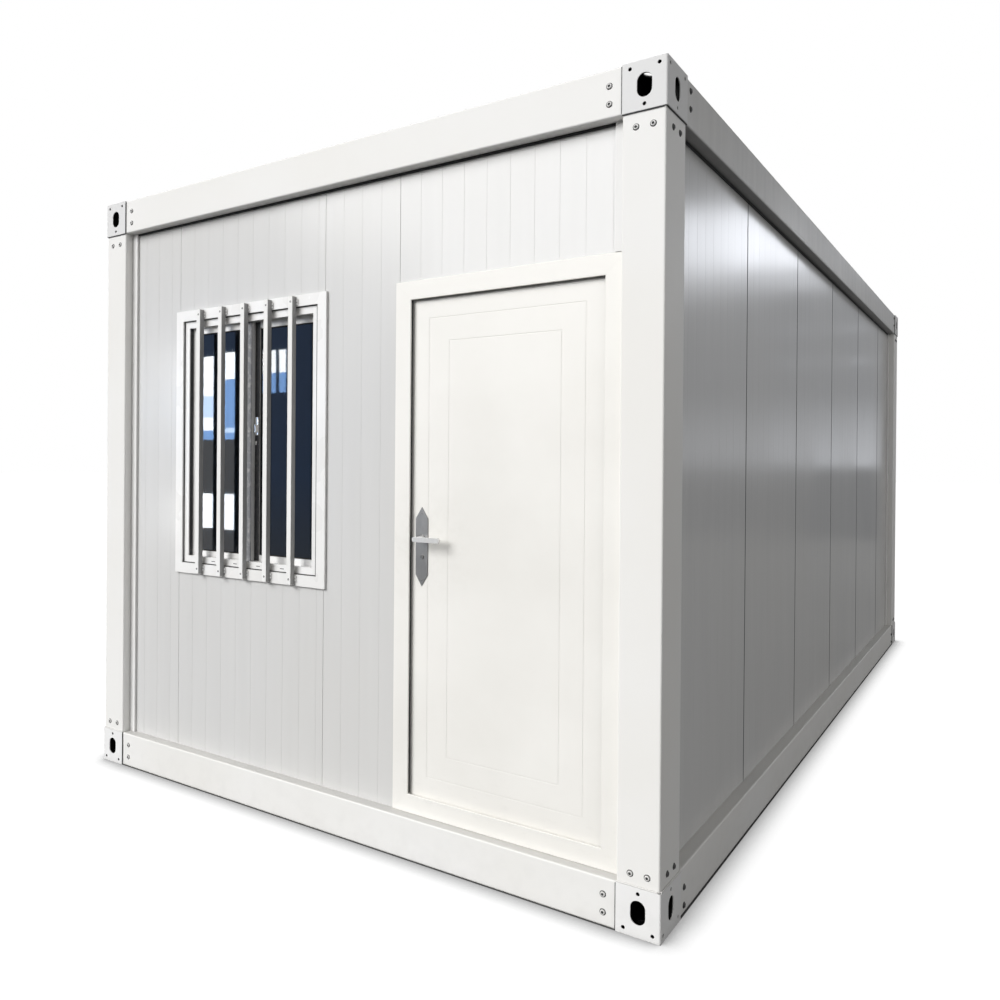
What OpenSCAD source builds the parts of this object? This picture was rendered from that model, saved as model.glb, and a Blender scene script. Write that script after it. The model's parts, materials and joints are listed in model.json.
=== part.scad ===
// Flat-pack container house: a bolted steel frame with corner fittings, sandwich wall panels,
// a barred sliding window and a lockable door in one end wall.
// Millimetres, +Z up. The origin is on the ground under the middle of the house,
// the door end faces -Y and the house is longest along Y.

/* [House] */
// Width over the end wall
house_w = 2990; // [2700:10:3400]
// Length over the side wall
house_l = 6055; // [5000:5:7300]
// Height from the ground to the top of the roof frame
house_h = 2896; // [2750:2:3200]

/* [Frame] */
// Corner post width on the end wall
post_w = 155; // [140:1:180]
// Corner post width on the side wall
post_d = 200; // [160:1:240]
// Height of the base and roof frames and of their corner fittings
frame_h = 165; // [155:1:190]
// Sheet thickness of the roll-formed posts and beams
sheet_t = 4; // [3:0.5:5]
// Bend radius of the roll-formed sheet, to the middle of the sheet
bend_r = 5; // [4:0.5:9]
// How far the corner fittings stand proud of the posts and beams
fitting_proud = 5; // [3:0.5:8]
// Distance from the fittings' outer faces back to the wall panels
setback = 58; // [50:1:70]
// Width of a base beam's lower flange
base_foot = 70; // [50:1:90]
// Ledge of the beams beyond the inner face of the walls
beam_ledge = 20; // [15:1:30]
// Width of a roof beam's top flange
roof_rim = 50; // [40:1:65]
// Depth of the roof sheet below the top of the roof frame
roof_drop = 45; // [42:1:55]

/* [Corner fittings] */
// Plate thickness
plate_t = 8; // [6:1:12]
// Width of the lifting slots
slot_w = 52; // [40:1:56]
// Length of the lifting slots
slot_l = 80; // [65:1:84]
// Diameter of the small bolt holes
bolt_hole_d = 13; // [10:1:16]
// Distance of the two paired bolt holes from the edges beside them
bolt_side = 27; // [20:1:32]
// Height of the paired bolt holes from the fitting's outer end
bolt_end = 21; // [16:1:26]
// Height of the single bolt hole from the fitting's inner end
bolt_inner = 20; // [16:1:26]

/* [Floor and roof] */
// Thickness of the floor board
floor_t = 18; // [15:1:24]
// Height of the floor joists
joist_h = 110; // [80:1:116]
// Width of the floor joists
joist_w = 45; // [35:1:60]
// Largest distance between floor joists
joist_pitch = 560; // [400:10:700]
// Thickness of the ceiling panel
ceiling_t = 10; // [6:1:20]
// How far the ceiling panel laps onto the roof beams
ceiling_lap = 14; // [8:1:18]
// Thickness of the roof sheet
roof_t = 3; // [2:0.5:4]
// Height of the roof sheet's standing seams
seam_h = 26; // [15:1:28]
// Width of the roof sheet's standing seams
seam_w = 14; // [10:1:24]
// Distance between the standing seams
seam_pitch = 480; // [300:10:700]

/* [Wall panels] */
// Thickness of the sandwich panels
wall_t = 50; // [45:1:60]
// Cover width of a side wall panel
panel_w = 1010; // [800:5:1200]
// Distance between the grooves pressed into the outer sheet
groove_pitch = 101; // [80:1:140]
// Depth of those grooves
groove_depth = 0.6; // [0.4:0.1:2]
// Open joint between neighbouring panels
panel_gap = 2; // [1.5:0.1:3]
// Length of the panels' tongues past the open joint
tongue_l = 9; // [6:1:12]
// Thickness of the panels' tongues
tongue_t = 14; // [10:1:18]
// Clearance of a tongue in its groove
tongue_clear = 0.5; // [0.3:0.1:1]
// Width of the channel trim on a wall's ends
trim_w = 40; // [25:1:50]
// How far the channel trim stands proud of the panels
trim_proud = 12; // [6:1:16]
// Sheet thickness of the channel trim
trim_t = 1.5; // [1:0.1:2]

/* [Window] */
// Middle of the window from the left edge of the house
window_u = 999; // [980:1:1020]
// Width of the opening in the wall
window_w = 950; // [860:1:980]
// Height of the opening in the wall
window_h = 1250; // [1000:1:1350]
// Distance from the roof frame down to the opening's upper edge
window_drop = 449; // [380:1:540]
// How far the casing laps over the wall
casing_lap = 15; // [10:1:18]
// Face width of the casing
casing_w = 50; // [40:1:58]
// How far the casing stands proud of the wall
casing_proud = 12; // [8:1:16]
// Thickness of the casing's collar in the wall
casing_collar_t = 5; // [3:0.5:8]
// Visible face width of the sliding frame
sash_frame_w = 35; // [28:1:42]
// How far the sliding frame reaches behind the wall's outer face
sash_frame_d = 70; // [66:1:80]
// Thickness of the sliding frame's front lip
sash_lip = 20; // [14:1:22]
// Depth of the channel that the sashes run in
sash_channel = 15; // [10:1:18]
// Thickness of a sash
sash_t = 20; // [18:1:22]
// Face width of a sash's rails and stiles
sash_w = 42; // [34:1:50]
// Overlap of the two sashes in the middle
sash_overlap = 12; // [6:1:42]
// Running clearance of the sashes
sash_clear = 2; // [1:0.5:3]
// Glass thickness
glass_t = 5; // [4:1:8]
// Edge clearance of the glass
glass_clear = 0.3; // [0.2:0.1:0.8]
// Size of the square tube bars before the window
bar_size = 25; // [20:1:30]
// Wall thickness of the bars
bar_t = 2; // [1.5:0.5:3]
// Distance between the bars
bar_pitch = 151; // [120:1:160]
// Number of bars
bar_count = 5; // [3:2:5]
// Distance of the bars' ends from the casing's outer edge
bar_inset = 8; // [4:1:16]

/* [Door] */
// Width over the door frame
door_frame_w = 974; // [900:1:1010]
// Distance from the roof frame down to the top of the door frame
door_drop = 443; // [370:1:600]
// Face width of the door frame
door_face = 75; // [70:1:85]
// Sheet thickness of the door frame
door_sheet = 2; // [1.5:0.1:2.2]
// How far the door frame stands proud of the wall
door_proud = 10; // [8:1:14]
// How far the door frame laps over the wall
door_lap = 13; // [10:1:16]
// Thickness of the lip that the leaf closes behind
door_lip = 8; // [8:0.5:9]
// How far the lip overlaps the edge of the leaf
leaf_lap = 12; // [10:1:14]
// Gap round the leaf
leaf_gap = 6; // [5.5:0.5:8]
// Distance from the wall's outer face back to the leaf
leaf_recess = 12; // [11:1:16]
// Thickness of the leaf
leaf_t = 45; // [42:1:50]
// Gap between the leaf and the rubber seal behind the lip
seal_gap = 5; // [5:0.5:7]
// Width of the rubber seal
seal_w = 14; // [10:1:15]
// Distance of the outer pressed line from the leaf's edges
press_inset = 88; // [70:1:100]
// Distance between the two pressed lines
press_step = 94; // [60:1:110]
// Width of a pressed line
press_w = 4; // [3:0.5:6]
// Depth of a pressed line
press_depth = 0.5; // [0.4:0.1:2]

/* [Hinges] */
// Number of hinges
hinge_count = 3; // [2:1:4]
// Distance of the end hinges from the ends of the leaf
hinge_inset = 230; // [150:5:350]
// Height of one knuckle
knuckle_h = 34; // [24:1:50]
// Radius of the knuckles
knuckle_r = 6; // [5.5:0.1:6.5]
// Radius of the hinge pin
pin_r = 3.5; // [2.5:0.1:4]
// Running clearance of the pin
pin_clear = 0.1; // [0.05:0.01:0.2]
// Gap between neighbouring knuckles
knuckle_gap = 1; // [0.5:0.1:2]
// Thickness of the hinge straps
strap_t = 3; // [2:0.5:4]
// Width of the hinge straps
strap_w = 56; // [30:1:70]

/* [Lock] */
// Distance of the lock from the edge of the leaf
lock_backset = 60; // [50:1:75]
// Height of the lever's spindle above the ground
lever_z = 1262; // [1000:1:1350]
// Width of the lock plates
lock_plate_w = 58; // [45:1:70]
// Length of the lock plates between their points
lock_plate_l = 314; // [240:1:340]
// Length of each pointed end
lock_point = 45; // [30:1:60]
// Thickness of the lock plates
lock_plate_t = 3; // [2:0.5:5]
// Distance from the middle of the plate up to the spindle
spindle_up = 32; // [20:1:45]
// Distance from the spindle down to the key cylinder
key_drop = 72; // [60:1:85]
// Radius of the key cylinder
key_r = 9; // [7:0.5:11]
// How far the key cylinder stands proud of the plate
key_proud = 4; // [2:0.5:6]
// Length of the lever from its spindle
lever_l = 118; // [100:1:140]
// Height of the lever's arm
lever_h = 20; // [16:1:24]
// Thickness of the lever's arm
lever_t = 10; // [8:1:12]
// Distance from the leaf to the front of the lever's arm
lever_reach = 58; // [50:1:60]
// Radius of the lever's neck
neck_r = 9; // [8:0.5:10]
// Running clearance of the lever's neck
neck_clear = 0.1; // [0.05:0.01:0.3]
// Side of the square spindle
spindle = 8; // [6:0.5:9]
// Clearance of the spindle in the leaf and in the inner lever
spindle_clear = 0.3; // [0.2:0.1:0.6]

/* [Hidden] */
$fn = 48;
cut = 1;
wall_back = setback + wall_t;
sheet_mid = sheet_t / 2;
frame_mid = fitting_proud + sheet_mid;
bend_inside = bend_r - sheet_mid;
flange_w = wall_back + beam_ledge;
roof_z = house_h - frame_h;
floor_z = frame_h;
window_u0 = window_u - window_w / 2;
window_u1 = window_u + window_w / 2;
window_z1 = roof_z - window_drop;
window_z = window_z1 - window_h;
casing_u0 = window_u0 - casing_lap;
casing_z0 = window_z - casing_lap;
casing_face_y = setback - casing_proud;
sash_frame_in = casing_w - casing_lap + sash_frame_w;
sash_bed = sash_frame_in - sash_channel;
sash_run_w = window_w - 2 * sash_bed;
sash_run_h = window_h - 2 * sash_bed;
sash_outer_w = (sash_run_w + sash_overlap) / 2 - sash_clear;
sash_outer_h = sash_run_h - sash_clear;
sash_front_y = setback + sash_lip + sash_clear;
sash_back_y = sash_front_y + sash_t + sash_clear;
sash_back_x = sash_run_w - sash_clear - sash_outer_w;
door_u1 = house_w - post_w;
door_u0 = door_u1 - door_frame_w;
door_z0 = floor_z;
door_z1 = roof_z - door_drop;
door_frame_h = door_z1 - door_z0;
door_joint_u = door_u0 + door_lap;
door_joint_z = door_z1 - door_lap;
leaf_in = door_face - leaf_lap;
leaf_u0 = door_u0 + leaf_in;
leaf_u1 = door_u1 - leaf_in;
leaf_z0 = door_z0 + leaf_in;
leaf_z1 = door_z1 - leaf_in;
leaf_y0 = setback + leaf_recess;
leaf_y1 = leaf_y0 + leaf_t;
rebate = leaf_in - leaf_gap;
seal_y0 = setback - door_proud + door_lip;
seal_y1 = leaf_y0 - seal_gap;
hinge_u = leaf_u1 + leaf_gap / 2;
hinge_y = leaf_y1 + knuckle_r + knuckle_gap;
hinge_h = 3 * knuckle_h + 2 * knuckle_gap;
hinge_step = (leaf_z1 - leaf_z0 - 2 * hinge_inset - hinge_h) / (hinge_count - 1);
lock_u = leaf_u0 + lock_backset;
steel_white = [0.93, 0.93, 0.92];
panel_white = [0.88, 0.89, 0.89];

// Places a corner piece, modelled with its outer corner at the origin, at one corner of the house.
module at_corner(right, rear) {
  if (right) mirror([1, 0, 0]) at_corner(false, rear) children();
  else if (rear) mirror([0, 1, 0]) at_corner(false, false) children();
  else translate([-house_w / 2, -house_l / 2, 0]) children();
}

// Places a piece of a wall. Seen from outside, x runs along the wall from its left edge,
// y runs inwards from the frame's outer face and z runs up from the ground.
module on_wall(wall) {
  if (wall == "front") translate([-house_w / 2, -house_l / 2, 0]) children();
  if (wall == "right") translate([house_w / 2, -house_l / 2, 0]) rotate(90) children();
  if (wall == "rear") translate([house_w / 2, house_l / 2, 0]) rotate(180) children();
  if (wall == "left") translate([-house_w / 2, house_l / 2, 0]) rotate(270) children();
}

// Runs a profile drawn inwards and upwards along a wall.
module along_wall(length) {
  rotate([90, 0, 90]) linear_extrude(length) children();
}

// Cuts or raises a shape drawn in the plane of a wall, from y0 inwards to y1.
module across_wall(y0, y1) {
  translate([0, y1, 0]) rotate([90, 0, 0]) linear_extrude(y1 - y0) children();
}

function step(a, b) = (b - a) / norm(b - a);

// One straight leg of folded sheet between two points on the middle of the sheet.
module sheet_leg(a, b, thickness) {
  d = step(a, b);
  run = [abs(d.x), abs(d.y)] * norm(b - a);
  across = [abs(d.y), abs(d.x)] * thickness;
  translate((a + b) / 2) square(run + across, center = true);
}

// One right-angled bend of folded sheet at the corner where two legs would meet.
module sheet_bend(corner, d_in, d_out, thickness, radius) {
  centre = corner + radius * (d_out - d_in);
  reach = radius + thickness / 2;
  intersection() {
    translate(centre) difference() {
      circle(reach);
      circle(radius - thickness / 2);
    }
    translate(centre + reach / 2 * (d_in - d_out)) square(reach, center = true);
  }
}

// A roll-formed section: folded sheet along a path of right-angled corners.
module folded_sheet(path, thickness, radius, closed = false) {
  count = len(path);
  last = closed ? count - 1 : count - 2;
  for (i = [0:last]) {
    a = path[i];
    b = path[(i + 1) % count];
    d = step(a, b);
    bend_a = closed || i > 0;
    bend_b = closed || i < last;
    sheet_leg(a + (bend_a ? radius * d : [0, 0]), b - (bend_b ? radius * d : [0, 0]), thickness);
    if (bend_b) sheet_bend(b, d, step(b, path[(i + 2) % count]), thickness, radius);
  }
}

// An obround outline that is longest along y.
module obround(length, width) {
  square([width, length - width], center = true);
  for (side = [-1, 1]) translate([0, side * (length - width) / 2]) circle(d = width);
}

// The slot and the three bolt holes in one face of a corner fitting of the given width.
module fitting_holes(width) {
  translate([width / 2, frame_h / 2]) obround(slot_l, slot_w);
  for (x = [bolt_side, width - bolt_side]) translate([x, bolt_end]) circle(d = bolt_hole_d);
  translate([width / 2, frame_h - bolt_inner]) circle(d = bolt_hole_d);
}

// A hollow corner fitting of the base frame, with its outer corner at the origin.
module corner_fitting() {
  round_r = bend_r + sheet_mid;
  color(steel_white) difference() {
    linear_extrude(frame_h) {
      translate([round_r, 0]) square([post_w - round_r, post_d]);
      translate([0, round_r]) square([post_w, post_d - round_r]);
      translate([round_r, round_r]) circle(round_r);
    }
    translate([plate_t, plate_t, plate_t])
      cube([post_w - 2 * plate_t, post_d - 2 * plate_t, frame_h - 2 * plate_t]);
    across_wall(-cut, plate_t + cut) fitting_holes(post_w);
    translate([-cut, 0, 0]) along_wall(plate_t + 2 * cut) fitting_holes(post_d);
    translate([post_w / 2, post_d / 2, -cut])
      linear_extrude(plate_t + 2 * cut) rotate(90) obround(slot_l, slot_w);
  }
}

module base_fitting(right, rear) {
  at_corner(right, rear) corner_fitting();
}

module roof_fitting(right, rear) {
  at_corner(right, rear) translate([0, 0, house_h]) mirror([0, 0, 1]) corner_fitting();
}

// A closed corner post of folded sheet whose two legs end level with the walls' inner faces.
module corner_post(right, rear) {
  corner = wall_back - sheet_mid;
  path = [
    [frame_mid, frame_mid], [post_w - sheet_mid, frame_mid], [post_w - sheet_mid, corner],
    [corner, corner], [corner, post_d - sheet_mid], [frame_mid, post_d - sheet_mid]
  ];
  color(steel_white) at_corner(right, rear) translate([0, 0, frame_h])
    linear_extrude(house_h - 2 * frame_h) folded_sheet(path, sheet_t, bend_r, closed = true);
}

function wall_length(wall) = wall == "front" || wall == "rear" ? house_w : house_l;
function wall_post(wall) = wall == "front" || wall == "rear" ? post_w : post_d;

// A beam of folded sheet between the corner fittings of one wall.
module frame_beam(wall, path) {
  post = wall_post(wall);
  color(steel_white) on_wall(wall) translate([post, 0, 0])
    along_wall(wall_length(wall) - 2 * post) folded_sheet(path, sheet_t, bend_r);
}

// The base beam's top flange carries the walls and its lip holds the edge of the floor board.
module base_beam(wall) {
  top = frame_h - sheet_mid;
  frame_beam(wall, [
    [base_foot, sheet_mid], [frame_mid, sheet_mid], [frame_mid, top],
    [flange_w - sheet_mid, top], [flange_w - sheet_mid, frame_h - floor_t]
  ]);
}

// The roof beam's lower flange carries the ceiling and its shelf, inside the rim, the roof sheet.
module roof_beam(wall) {
  flange_z = roof_z + sheet_mid;
  shelf_z = house_h - roof_drop - sheet_mid;
  top = house_h - sheet_mid;
  frame_beam(wall, [
    [flange_w, flange_z], [frame_mid, flange_z], [frame_mid, top],
    [roof_rim - sheet_mid, top], [roof_rim - sheet_mid, shelf_z], [flange_w, shelf_z]
  ]);
}

// Channel joists across the base frame, with their ends against the webs of the side beams.
module floor_joists() {
  room = house_l - 2 * post_d - joist_w;
  count = ceil(room / joist_pitch);
  web = fitting_proud + sheet_t;
  top = floor_z - floor_t - sheet_mid;
  foot = top - joist_h + sheet_t;
  path = [[joist_w, top], [sheet_mid, top], [sheet_mid, foot], [joist_w, foot]];
  color("silver") for (i = [0:count])
    translate([web - house_w / 2, -house_l / 2 + post_d + room * i / count, 0])
      along_wall(house_w - 2 * web) folded_sheet(path, sheet_t, bend_r);
}

// A plate inside the frame, notched round the four corner fittings.
module frame_infill(margin, z, thickness) {
  translate([0, 0, z]) linear_extrude(thickness) difference() {
    square([house_w - 2 * margin, house_l - 2 * margin], center = true);
    for (x = [-1, 1], y = [-1, 1])
      translate([x * house_w / 2, y * house_l / 2]) square([2 * post_w, 2 * post_d], center = true);
  }
}

module floor_board() {
  color("burlywood") frame_infill(flange_w, floor_z - floor_t, floor_t);
}

module ceiling_panel() {
  color(panel_white) frame_infill(flange_w - ceiling_lap, roof_z + sheet_t, ceiling_t);
}

// Flat sheet with standing seams across the house, lying on the roof beams' shelves.
module roof_sheet() {
  deck_z = house_h - roof_drop;
  seam_room = house_l - 2 * post_d - seam_w;
  count = ceil(seam_room / seam_pitch);
  color("lightgray") {
    frame_infill(roof_rim + bend_inside, deck_z, roof_t);
    for (i = [0:count])
      translate([-house_w / 2 + flange_w, -house_l / 2 + post_d + seam_room * i / count, deck_z])
        cube([house_w - 2 * flange_w, seam_w, seam_h]);
  }
}

// Plan of a sandwich panel: outer sheet at y = 0, edges flat, with a tongue or with a groove.
module panel_plan(width, left, right) {
  groove_side = groove_depth * sqrt(2);
  pocket = tongue_l + tongue_clear;
  difference() {
    square([width, wall_t]);
    for (x = [groove_pitch:groove_pitch:width - groove_pitch / 3])
      translate([x, 0]) rotate(45) square(groove_side, center = true);
    if (left == "groove") translate([0, wall_t / 2])
      square([2 * pocket, tongue_t + 2 * tongue_clear], center = true);
    if (right == "groove") translate([width, wall_t / 2])
      square([2 * pocket, tongue_t + 2 * tongue_clear], center = true);
  }
  reach = panel_gap + tongue_l;
  if (left == "tongue") translate([-reach, (wall_t - tongue_t) / 2]) square([reach, tongue_t]);
  if (right == "tongue") translate([width, (wall_t - tongue_t) / 2]) square([reach, tongue_t]);
}

// A wall panel between two joint lines and two heights, in the frame of its wall.
module wall_panel(u0, u1, z0, z1, left = "flat", right = "flat") {
  start = left == "flat" ? u0 : u0 + panel_gap / 2;
  end = right == "flat" ? u1 : u1 - panel_gap / 2;
  translate([start, setback, z0]) linear_extrude(z1 - z0) panel_plan(end - start, left, right);
}

// A whole wall of panels between two posts, counted from its left end.
module panel_row(wall) {
  u0 = wall_post(wall) + trim_t;
  u1 = wall_length(wall) - u0;
  count = ceil((u1 - u0) / panel_w - 0.1);
  color(panel_white) on_wall(wall) for (i = [0:count - 1])
    wall_panel(
      u0 + i * panel_w, i == count - 1 ? u1 : u0 + (i + 1) * panel_w, floor_z, roof_z,
      i == 0 ? "flat" : "groove", i == count - 1 ? "flat" : "tongue"
    );
}

module right_wall_panels() {
  panel_row("right");
}

module left_wall_panels() {
  mirror([1, 0, 0]) panel_row("right");
}

module rear_wall_panels() {
  panel_row("rear");
}

module front_panel_left() {
  color(panel_white) on_wall("front")
    wall_panel(post_w + trim_t, window_u0, floor_z, roof_z, "flat", "groove");
}

module front_panel_under_window() {
  color(panel_white) on_wall("front")
    wall_panel(window_u0, window_u1, floor_z, window_z, "tongue", "tongue");
}

module front_panel_over_window() {
  color(panel_white) on_wall("front")
    wall_panel(window_u0, window_u1, window_z1, roof_z, "tongue", "tongue");
}

module front_panel_middle() {
  color(panel_white) on_wall("front")
    wall_panel(window_u1, door_joint_u, floor_z, roof_z, "groove", "groove");
}

module front_panel_over_door() {
  color(panel_white) on_wall("front")
    wall_panel(door_joint_u, door_u1 - trim_t, door_joint_z, roof_z, "tongue", "flat");
}

// Channel that wraps a wall's left end, from height z0 to the roof beam. Its outer side stands
// proud of the panels and folds back onto them.
module end_trim(u, z0) {
  translate([u, setback - trim_proud, z0]) linear_extrude(roof_z - z0) difference() {
    square([trim_w, trim_proud + wall_t + trim_t]);
    translate([trim_t, trim_proud]) square([trim_w, wall_t]);
    translate([trim_t, trim_t]) square([trim_w - 2 * trim_t, trim_proud]);
  }
}

module wall_end_trims() {
  color(steel_white) {
    on_wall("front") end_trim(post_w, floor_z);
    on_wall("front") translate([house_w, 0, 0]) mirror([1, 0, 0]) end_trim(post_w, door_z1);
    for (wall = ["right", "left", "rear"]) on_wall(wall) {
      end_trim(wall_post(wall), floor_z);
      translate([wall_length(wall), 0, 0]) mirror([1, 0, 0]) end_trim(wall_post(wall), floor_z);
    }
  }
}

// A rectangular ring in the plane of the front wall round the window's opening, from inset
// outer to inset inner, measured inwards from the edge of the opening.
module window_ring(outer, inner, y0, y1) {
  across_wall(y0, y1) difference() {
    translate([window_u0 + outer, window_z + outer])
      square([window_w - 2 * outer, window_h - 2 * outer]);
    translate([window_u0 + inner, window_z + inner])
      square([window_w - 2 * inner, window_h - 2 * inner]);
  }
}

// Flat casing on the wall with a thin collar through it.
module window_casing() {
  color(steel_white) on_wall("front") {
    window_ring(-casing_lap, casing_w - casing_lap, casing_face_y, setback);
    window_ring(0, casing_collar_t, setback, wall_back);
  }
}

// The channel frame in which both sashes run.
module window_sliding_frame() {
  back = setback + sash_frame_d;
  color("white") on_wall("front") {
    window_ring(casing_collar_t, sash_frame_in, setback, setback + sash_lip);
    window_ring(casing_collar_t, sash_bed, setback + sash_lip, back);
  }
}

// One sash, or its glass, drawn from the lower left corner of the channel.
module sash_ring(x, y0, y1, outer, inner) {
  across_wall(y0, y1)
    translate([window_u0 + sash_bed + x, window_z + sash_bed]) difference() {
      translate([outer, outer]) square([sash_outer_w - 2 * outer, sash_outer_h - 2 * outer]);
      if (inner > 0)
        translate([inner, inner]) square([sash_outer_w - 2 * inner, sash_outer_h - 2 * inner]);
    }
}

module window_sashes() {
  color("white") on_wall("front") {
    sash_ring(sash_clear, sash_front_y, sash_front_y + sash_t, 0, sash_w);
    sash_ring(sash_back_x, sash_back_y, sash_back_y + sash_t, 0, sash_w);
  }
}

module window_glass() {
  inset = (sash_t - glass_t) / 2;
  pane = sash_w + glass_clear;
  color([0.2, 0.25, 0.3, 0.5]) on_wall("front") {
    sash_ring(sash_clear, sash_front_y + inset, sash_front_y + inset + glass_t, pane, 0);
    sash_ring(sash_back_x, sash_back_y + inset, sash_back_y + inset + glass_t, pane, 0);
  }
}

// Square tube bars fixed to the face of the casing.
module window_bars() {
  length = window_h + 2 * casing_lap - 2 * bar_inset;
  color("white") on_wall("front") for (i = [0:bar_count - 1])
    translate([
      window_u + (i - (bar_count - 1) / 2) * bar_pitch, casing_face_y - bar_size / 2,
      casing_z0 + bar_inset
    ])
      linear_extrude(length) difference() {
        square(bar_size, center = true);
        square(bar_size - 2 * bar_t, center = true);
      }
}

// Section of the door frame: x runs from the frame's outer edge towards the leaf
// and y runs inwards from the wall's outer face.
module door_frame_section() {
  mid = door_sheet / 2;
  fold_y = door_lip - door_proud - mid;
  folded_sheet([
    [mid, 0], [mid, mid - door_proud], [door_face - mid, mid - door_proud],
    [door_face - mid, fold_y], [rebate - mid, fold_y], [rebate - mid, wall_t - mid],
    [door_lap + mid, wall_t - mid]
  ], door_sheet, door_sheet);
}

// One side of the door frame, mitred at both ends, lying along x with its outer edge at z = 0.
module mitred_side(length) {
  rotate([90, 0, 180]) intersection() {
    rotate([90, 0, 90]) linear_extrude(length) door_frame_section();
    translate([0, 0, -door_proud - cut]) linear_extrude(wall_t + door_proud + 2 * cut)
      polygon([[0, 0], [length, 0], [length - door_face, door_face], [door_face, door_face]]);
  }
}

// Places a side of the door frame that stands at one corner of it and turns in the wall's plane.
module door_side(u, z, turn, length) {
  color("white") on_wall("front") translate([u, setback, z]) rotate([0, turn, 0]) mitred_side(length);
}

module door_lock_jamb() {
  door_side(door_u0, door_z0, 90, door_frame_h);
}

module door_hinge_jamb() {
  door_side(door_u1, door_z1, 270, door_frame_h);
}

module door_head() {
  door_side(door_u0, door_z1, 180, door_frame_w);
}

module door_sill() {
  door_side(door_u1, door_z0, 0, door_frame_w);
}

// Rubber strips behind the lip of both jambs and of the head.
module door_seal() {
  inner = door_face - cut;
  outer = inner - seal_w;
  color("black") on_wall("front") across_wall(seal_y0, seal_y1) {
    for (u = [door_u0 + outer, door_u1 - inner])
      translate([u, door_z0 + door_face]) square([seal_w, door_frame_h - door_face - inner - cut]);
    translate([door_u0 + outer, door_z1 - inner]) square([door_frame_w - 2 * outer, seal_w]);
  }
}

// A pressed line round the face of the leaf at one distance from its edges.
module pressed_line(inset) {
  across_wall(leaf_y0 - cut, leaf_y0 + press_depth) difference() {
    translate([leaf_u0 + inset, leaf_z0 + inset])
      square([leaf_u1 - leaf_u0 - 2 * inset, leaf_z1 - leaf_z0 - 2 * inset]);
    translate([leaf_u0 + inset + press_w, leaf_z0 + inset + press_w])
      square([leaf_u1 - leaf_u0 - 2 * (inset + press_w), leaf_z1 - leaf_z0 - 2 * (inset + press_w)]);
  }
}

module door_leaf() {
  spindle_r = spindle / sqrt(2) + spindle_clear;
  color("white") on_wall("front") difference() {
    translate([leaf_u0, leaf_y0, leaf_z0])
      cube([leaf_u1 - leaf_u0, leaf_t, leaf_z1 - leaf_z0]);
    pressed_line(press_inset);
    pressed_line(press_inset + press_step);
    across_wall(leaf_y0 - cut, leaf_y1 + cut) translate([lock_u, lever_z]) circle(spindle_r);
  }
}

// Places a hinge, modelled from its lower end on the hinge axis, at each height.
module at_hinges() {
  on_wall("front") for (i = [0:hinge_count - 1])
    translate([hinge_u, hinge_y, leaf_z0 + hinge_inset + i * hinge_step]) children();
}

// Upper and lower knuckles with the pin, on a strap bent onto the back of the jamb.
module door_hinge_jamb_halves() {
  riser_x = leaf_gap / 2;
  riser_y = wall_back - hinge_y;
  color("silver") at_hinges() {
    translate([riser_x, riser_y, 0]) cube([strap_w / 2, strap_t, hinge_h]);
    cylinder(hinge_h, pin_r, pin_r);
    for (z = [0, 2 * (knuckle_h + knuckle_gap)]) translate([0, 0, z]) {
      cylinder(knuckle_h, knuckle_r, knuckle_r);
      translate([riser_x, riser_y, 0]) cube([strap_t, -riser_y, knuckle_h]);
    }
  }
}

// Middle knuckle on a strap that lies on the inner face of the leaf.
module door_hinge_leaf_halves() {
  strap_y = leaf_y1 - hinge_y;
  strap_x = -knuckle_r - leaf_gap / 2;
  color("silver") at_hinges() difference() {
    union() {
      translate([0, 0, knuckle_h + knuckle_gap]) {
        cylinder(knuckle_h, knuckle_r, knuckle_r);
        translate([strap_x, strap_y, 0]) cube([-strap_x, strap_t, knuckle_h]);
      }
      translate([strap_x - strap_w, strap_y, 0]) cube([strap_w, strap_t, hinge_h]);
    }
    translate([0, 0, -cut]) cylinder(hinge_h + 2 * cut, pin_r + pin_clear, pin_r + pin_clear);
  }
}

// Outline of a lock plate about the spindle, with pointed ends.
module lock_outline() {
  half = lock_plate_w / 2;
  end = lock_plate_l / 2;
  shoulder = end - lock_point;
  translate([0, -spindle_up])
    polygon([
      [0, end], [half, shoulder], [half, -shoulder],
      [0, -end], [-half, -shoulder], [-half, shoulder]
    ]);
}

// A lock plate between two depths, with its key cylinder reaching from key_y0 to key_y1.
module lock_plate(y0, y1, key_y0, key_y1) {
  translate([lock_u, 0, lever_z]) {
    across_wall(y0, y1) difference() {
      lock_outline();
      circle(neck_r + neck_clear);
    }
    across_wall(key_y0, key_y1) translate([0, -key_drop]) circle(key_r);
  }
}

module lock_plates() {
  outer = leaf_y0 - lock_plate_t;
  inner = leaf_y1 + lock_plate_t;
  color("silver") on_wall("front") {
    lock_plate(outer, leaf_y0, outer - key_proud, leaf_y0);
    lock_plate(leaf_y1, inner, leaf_y1, inner + key_proud);
  }
}

// Arm of a lever between two depths, pointing towards the hinges.
module lever_arm(y0, y1) {
  across_wall(y0, y1) translate([(lever_l - lever_h / 2) / 2, 0]) rotate(90)
    obround(lever_l + lever_h / 2, lever_h);
}

// Outer lever with its neck, and the square spindle that goes through the leaf.
module outside_lever() {
  arm_y = leaf_y0 - lever_reach;
  socket = lever_reach / 2;
  color("silver") on_wall("front") translate([lock_u, 0, lever_z]) {
    lever_arm(arm_y, arm_y + lever_t);
    across_wall(arm_y, leaf_y0 - spindle_clear) circle(neck_r);
    across_wall(arm_y + lever_t, leaf_y1 + socket) square(spindle, center = true);
  }
}

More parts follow.
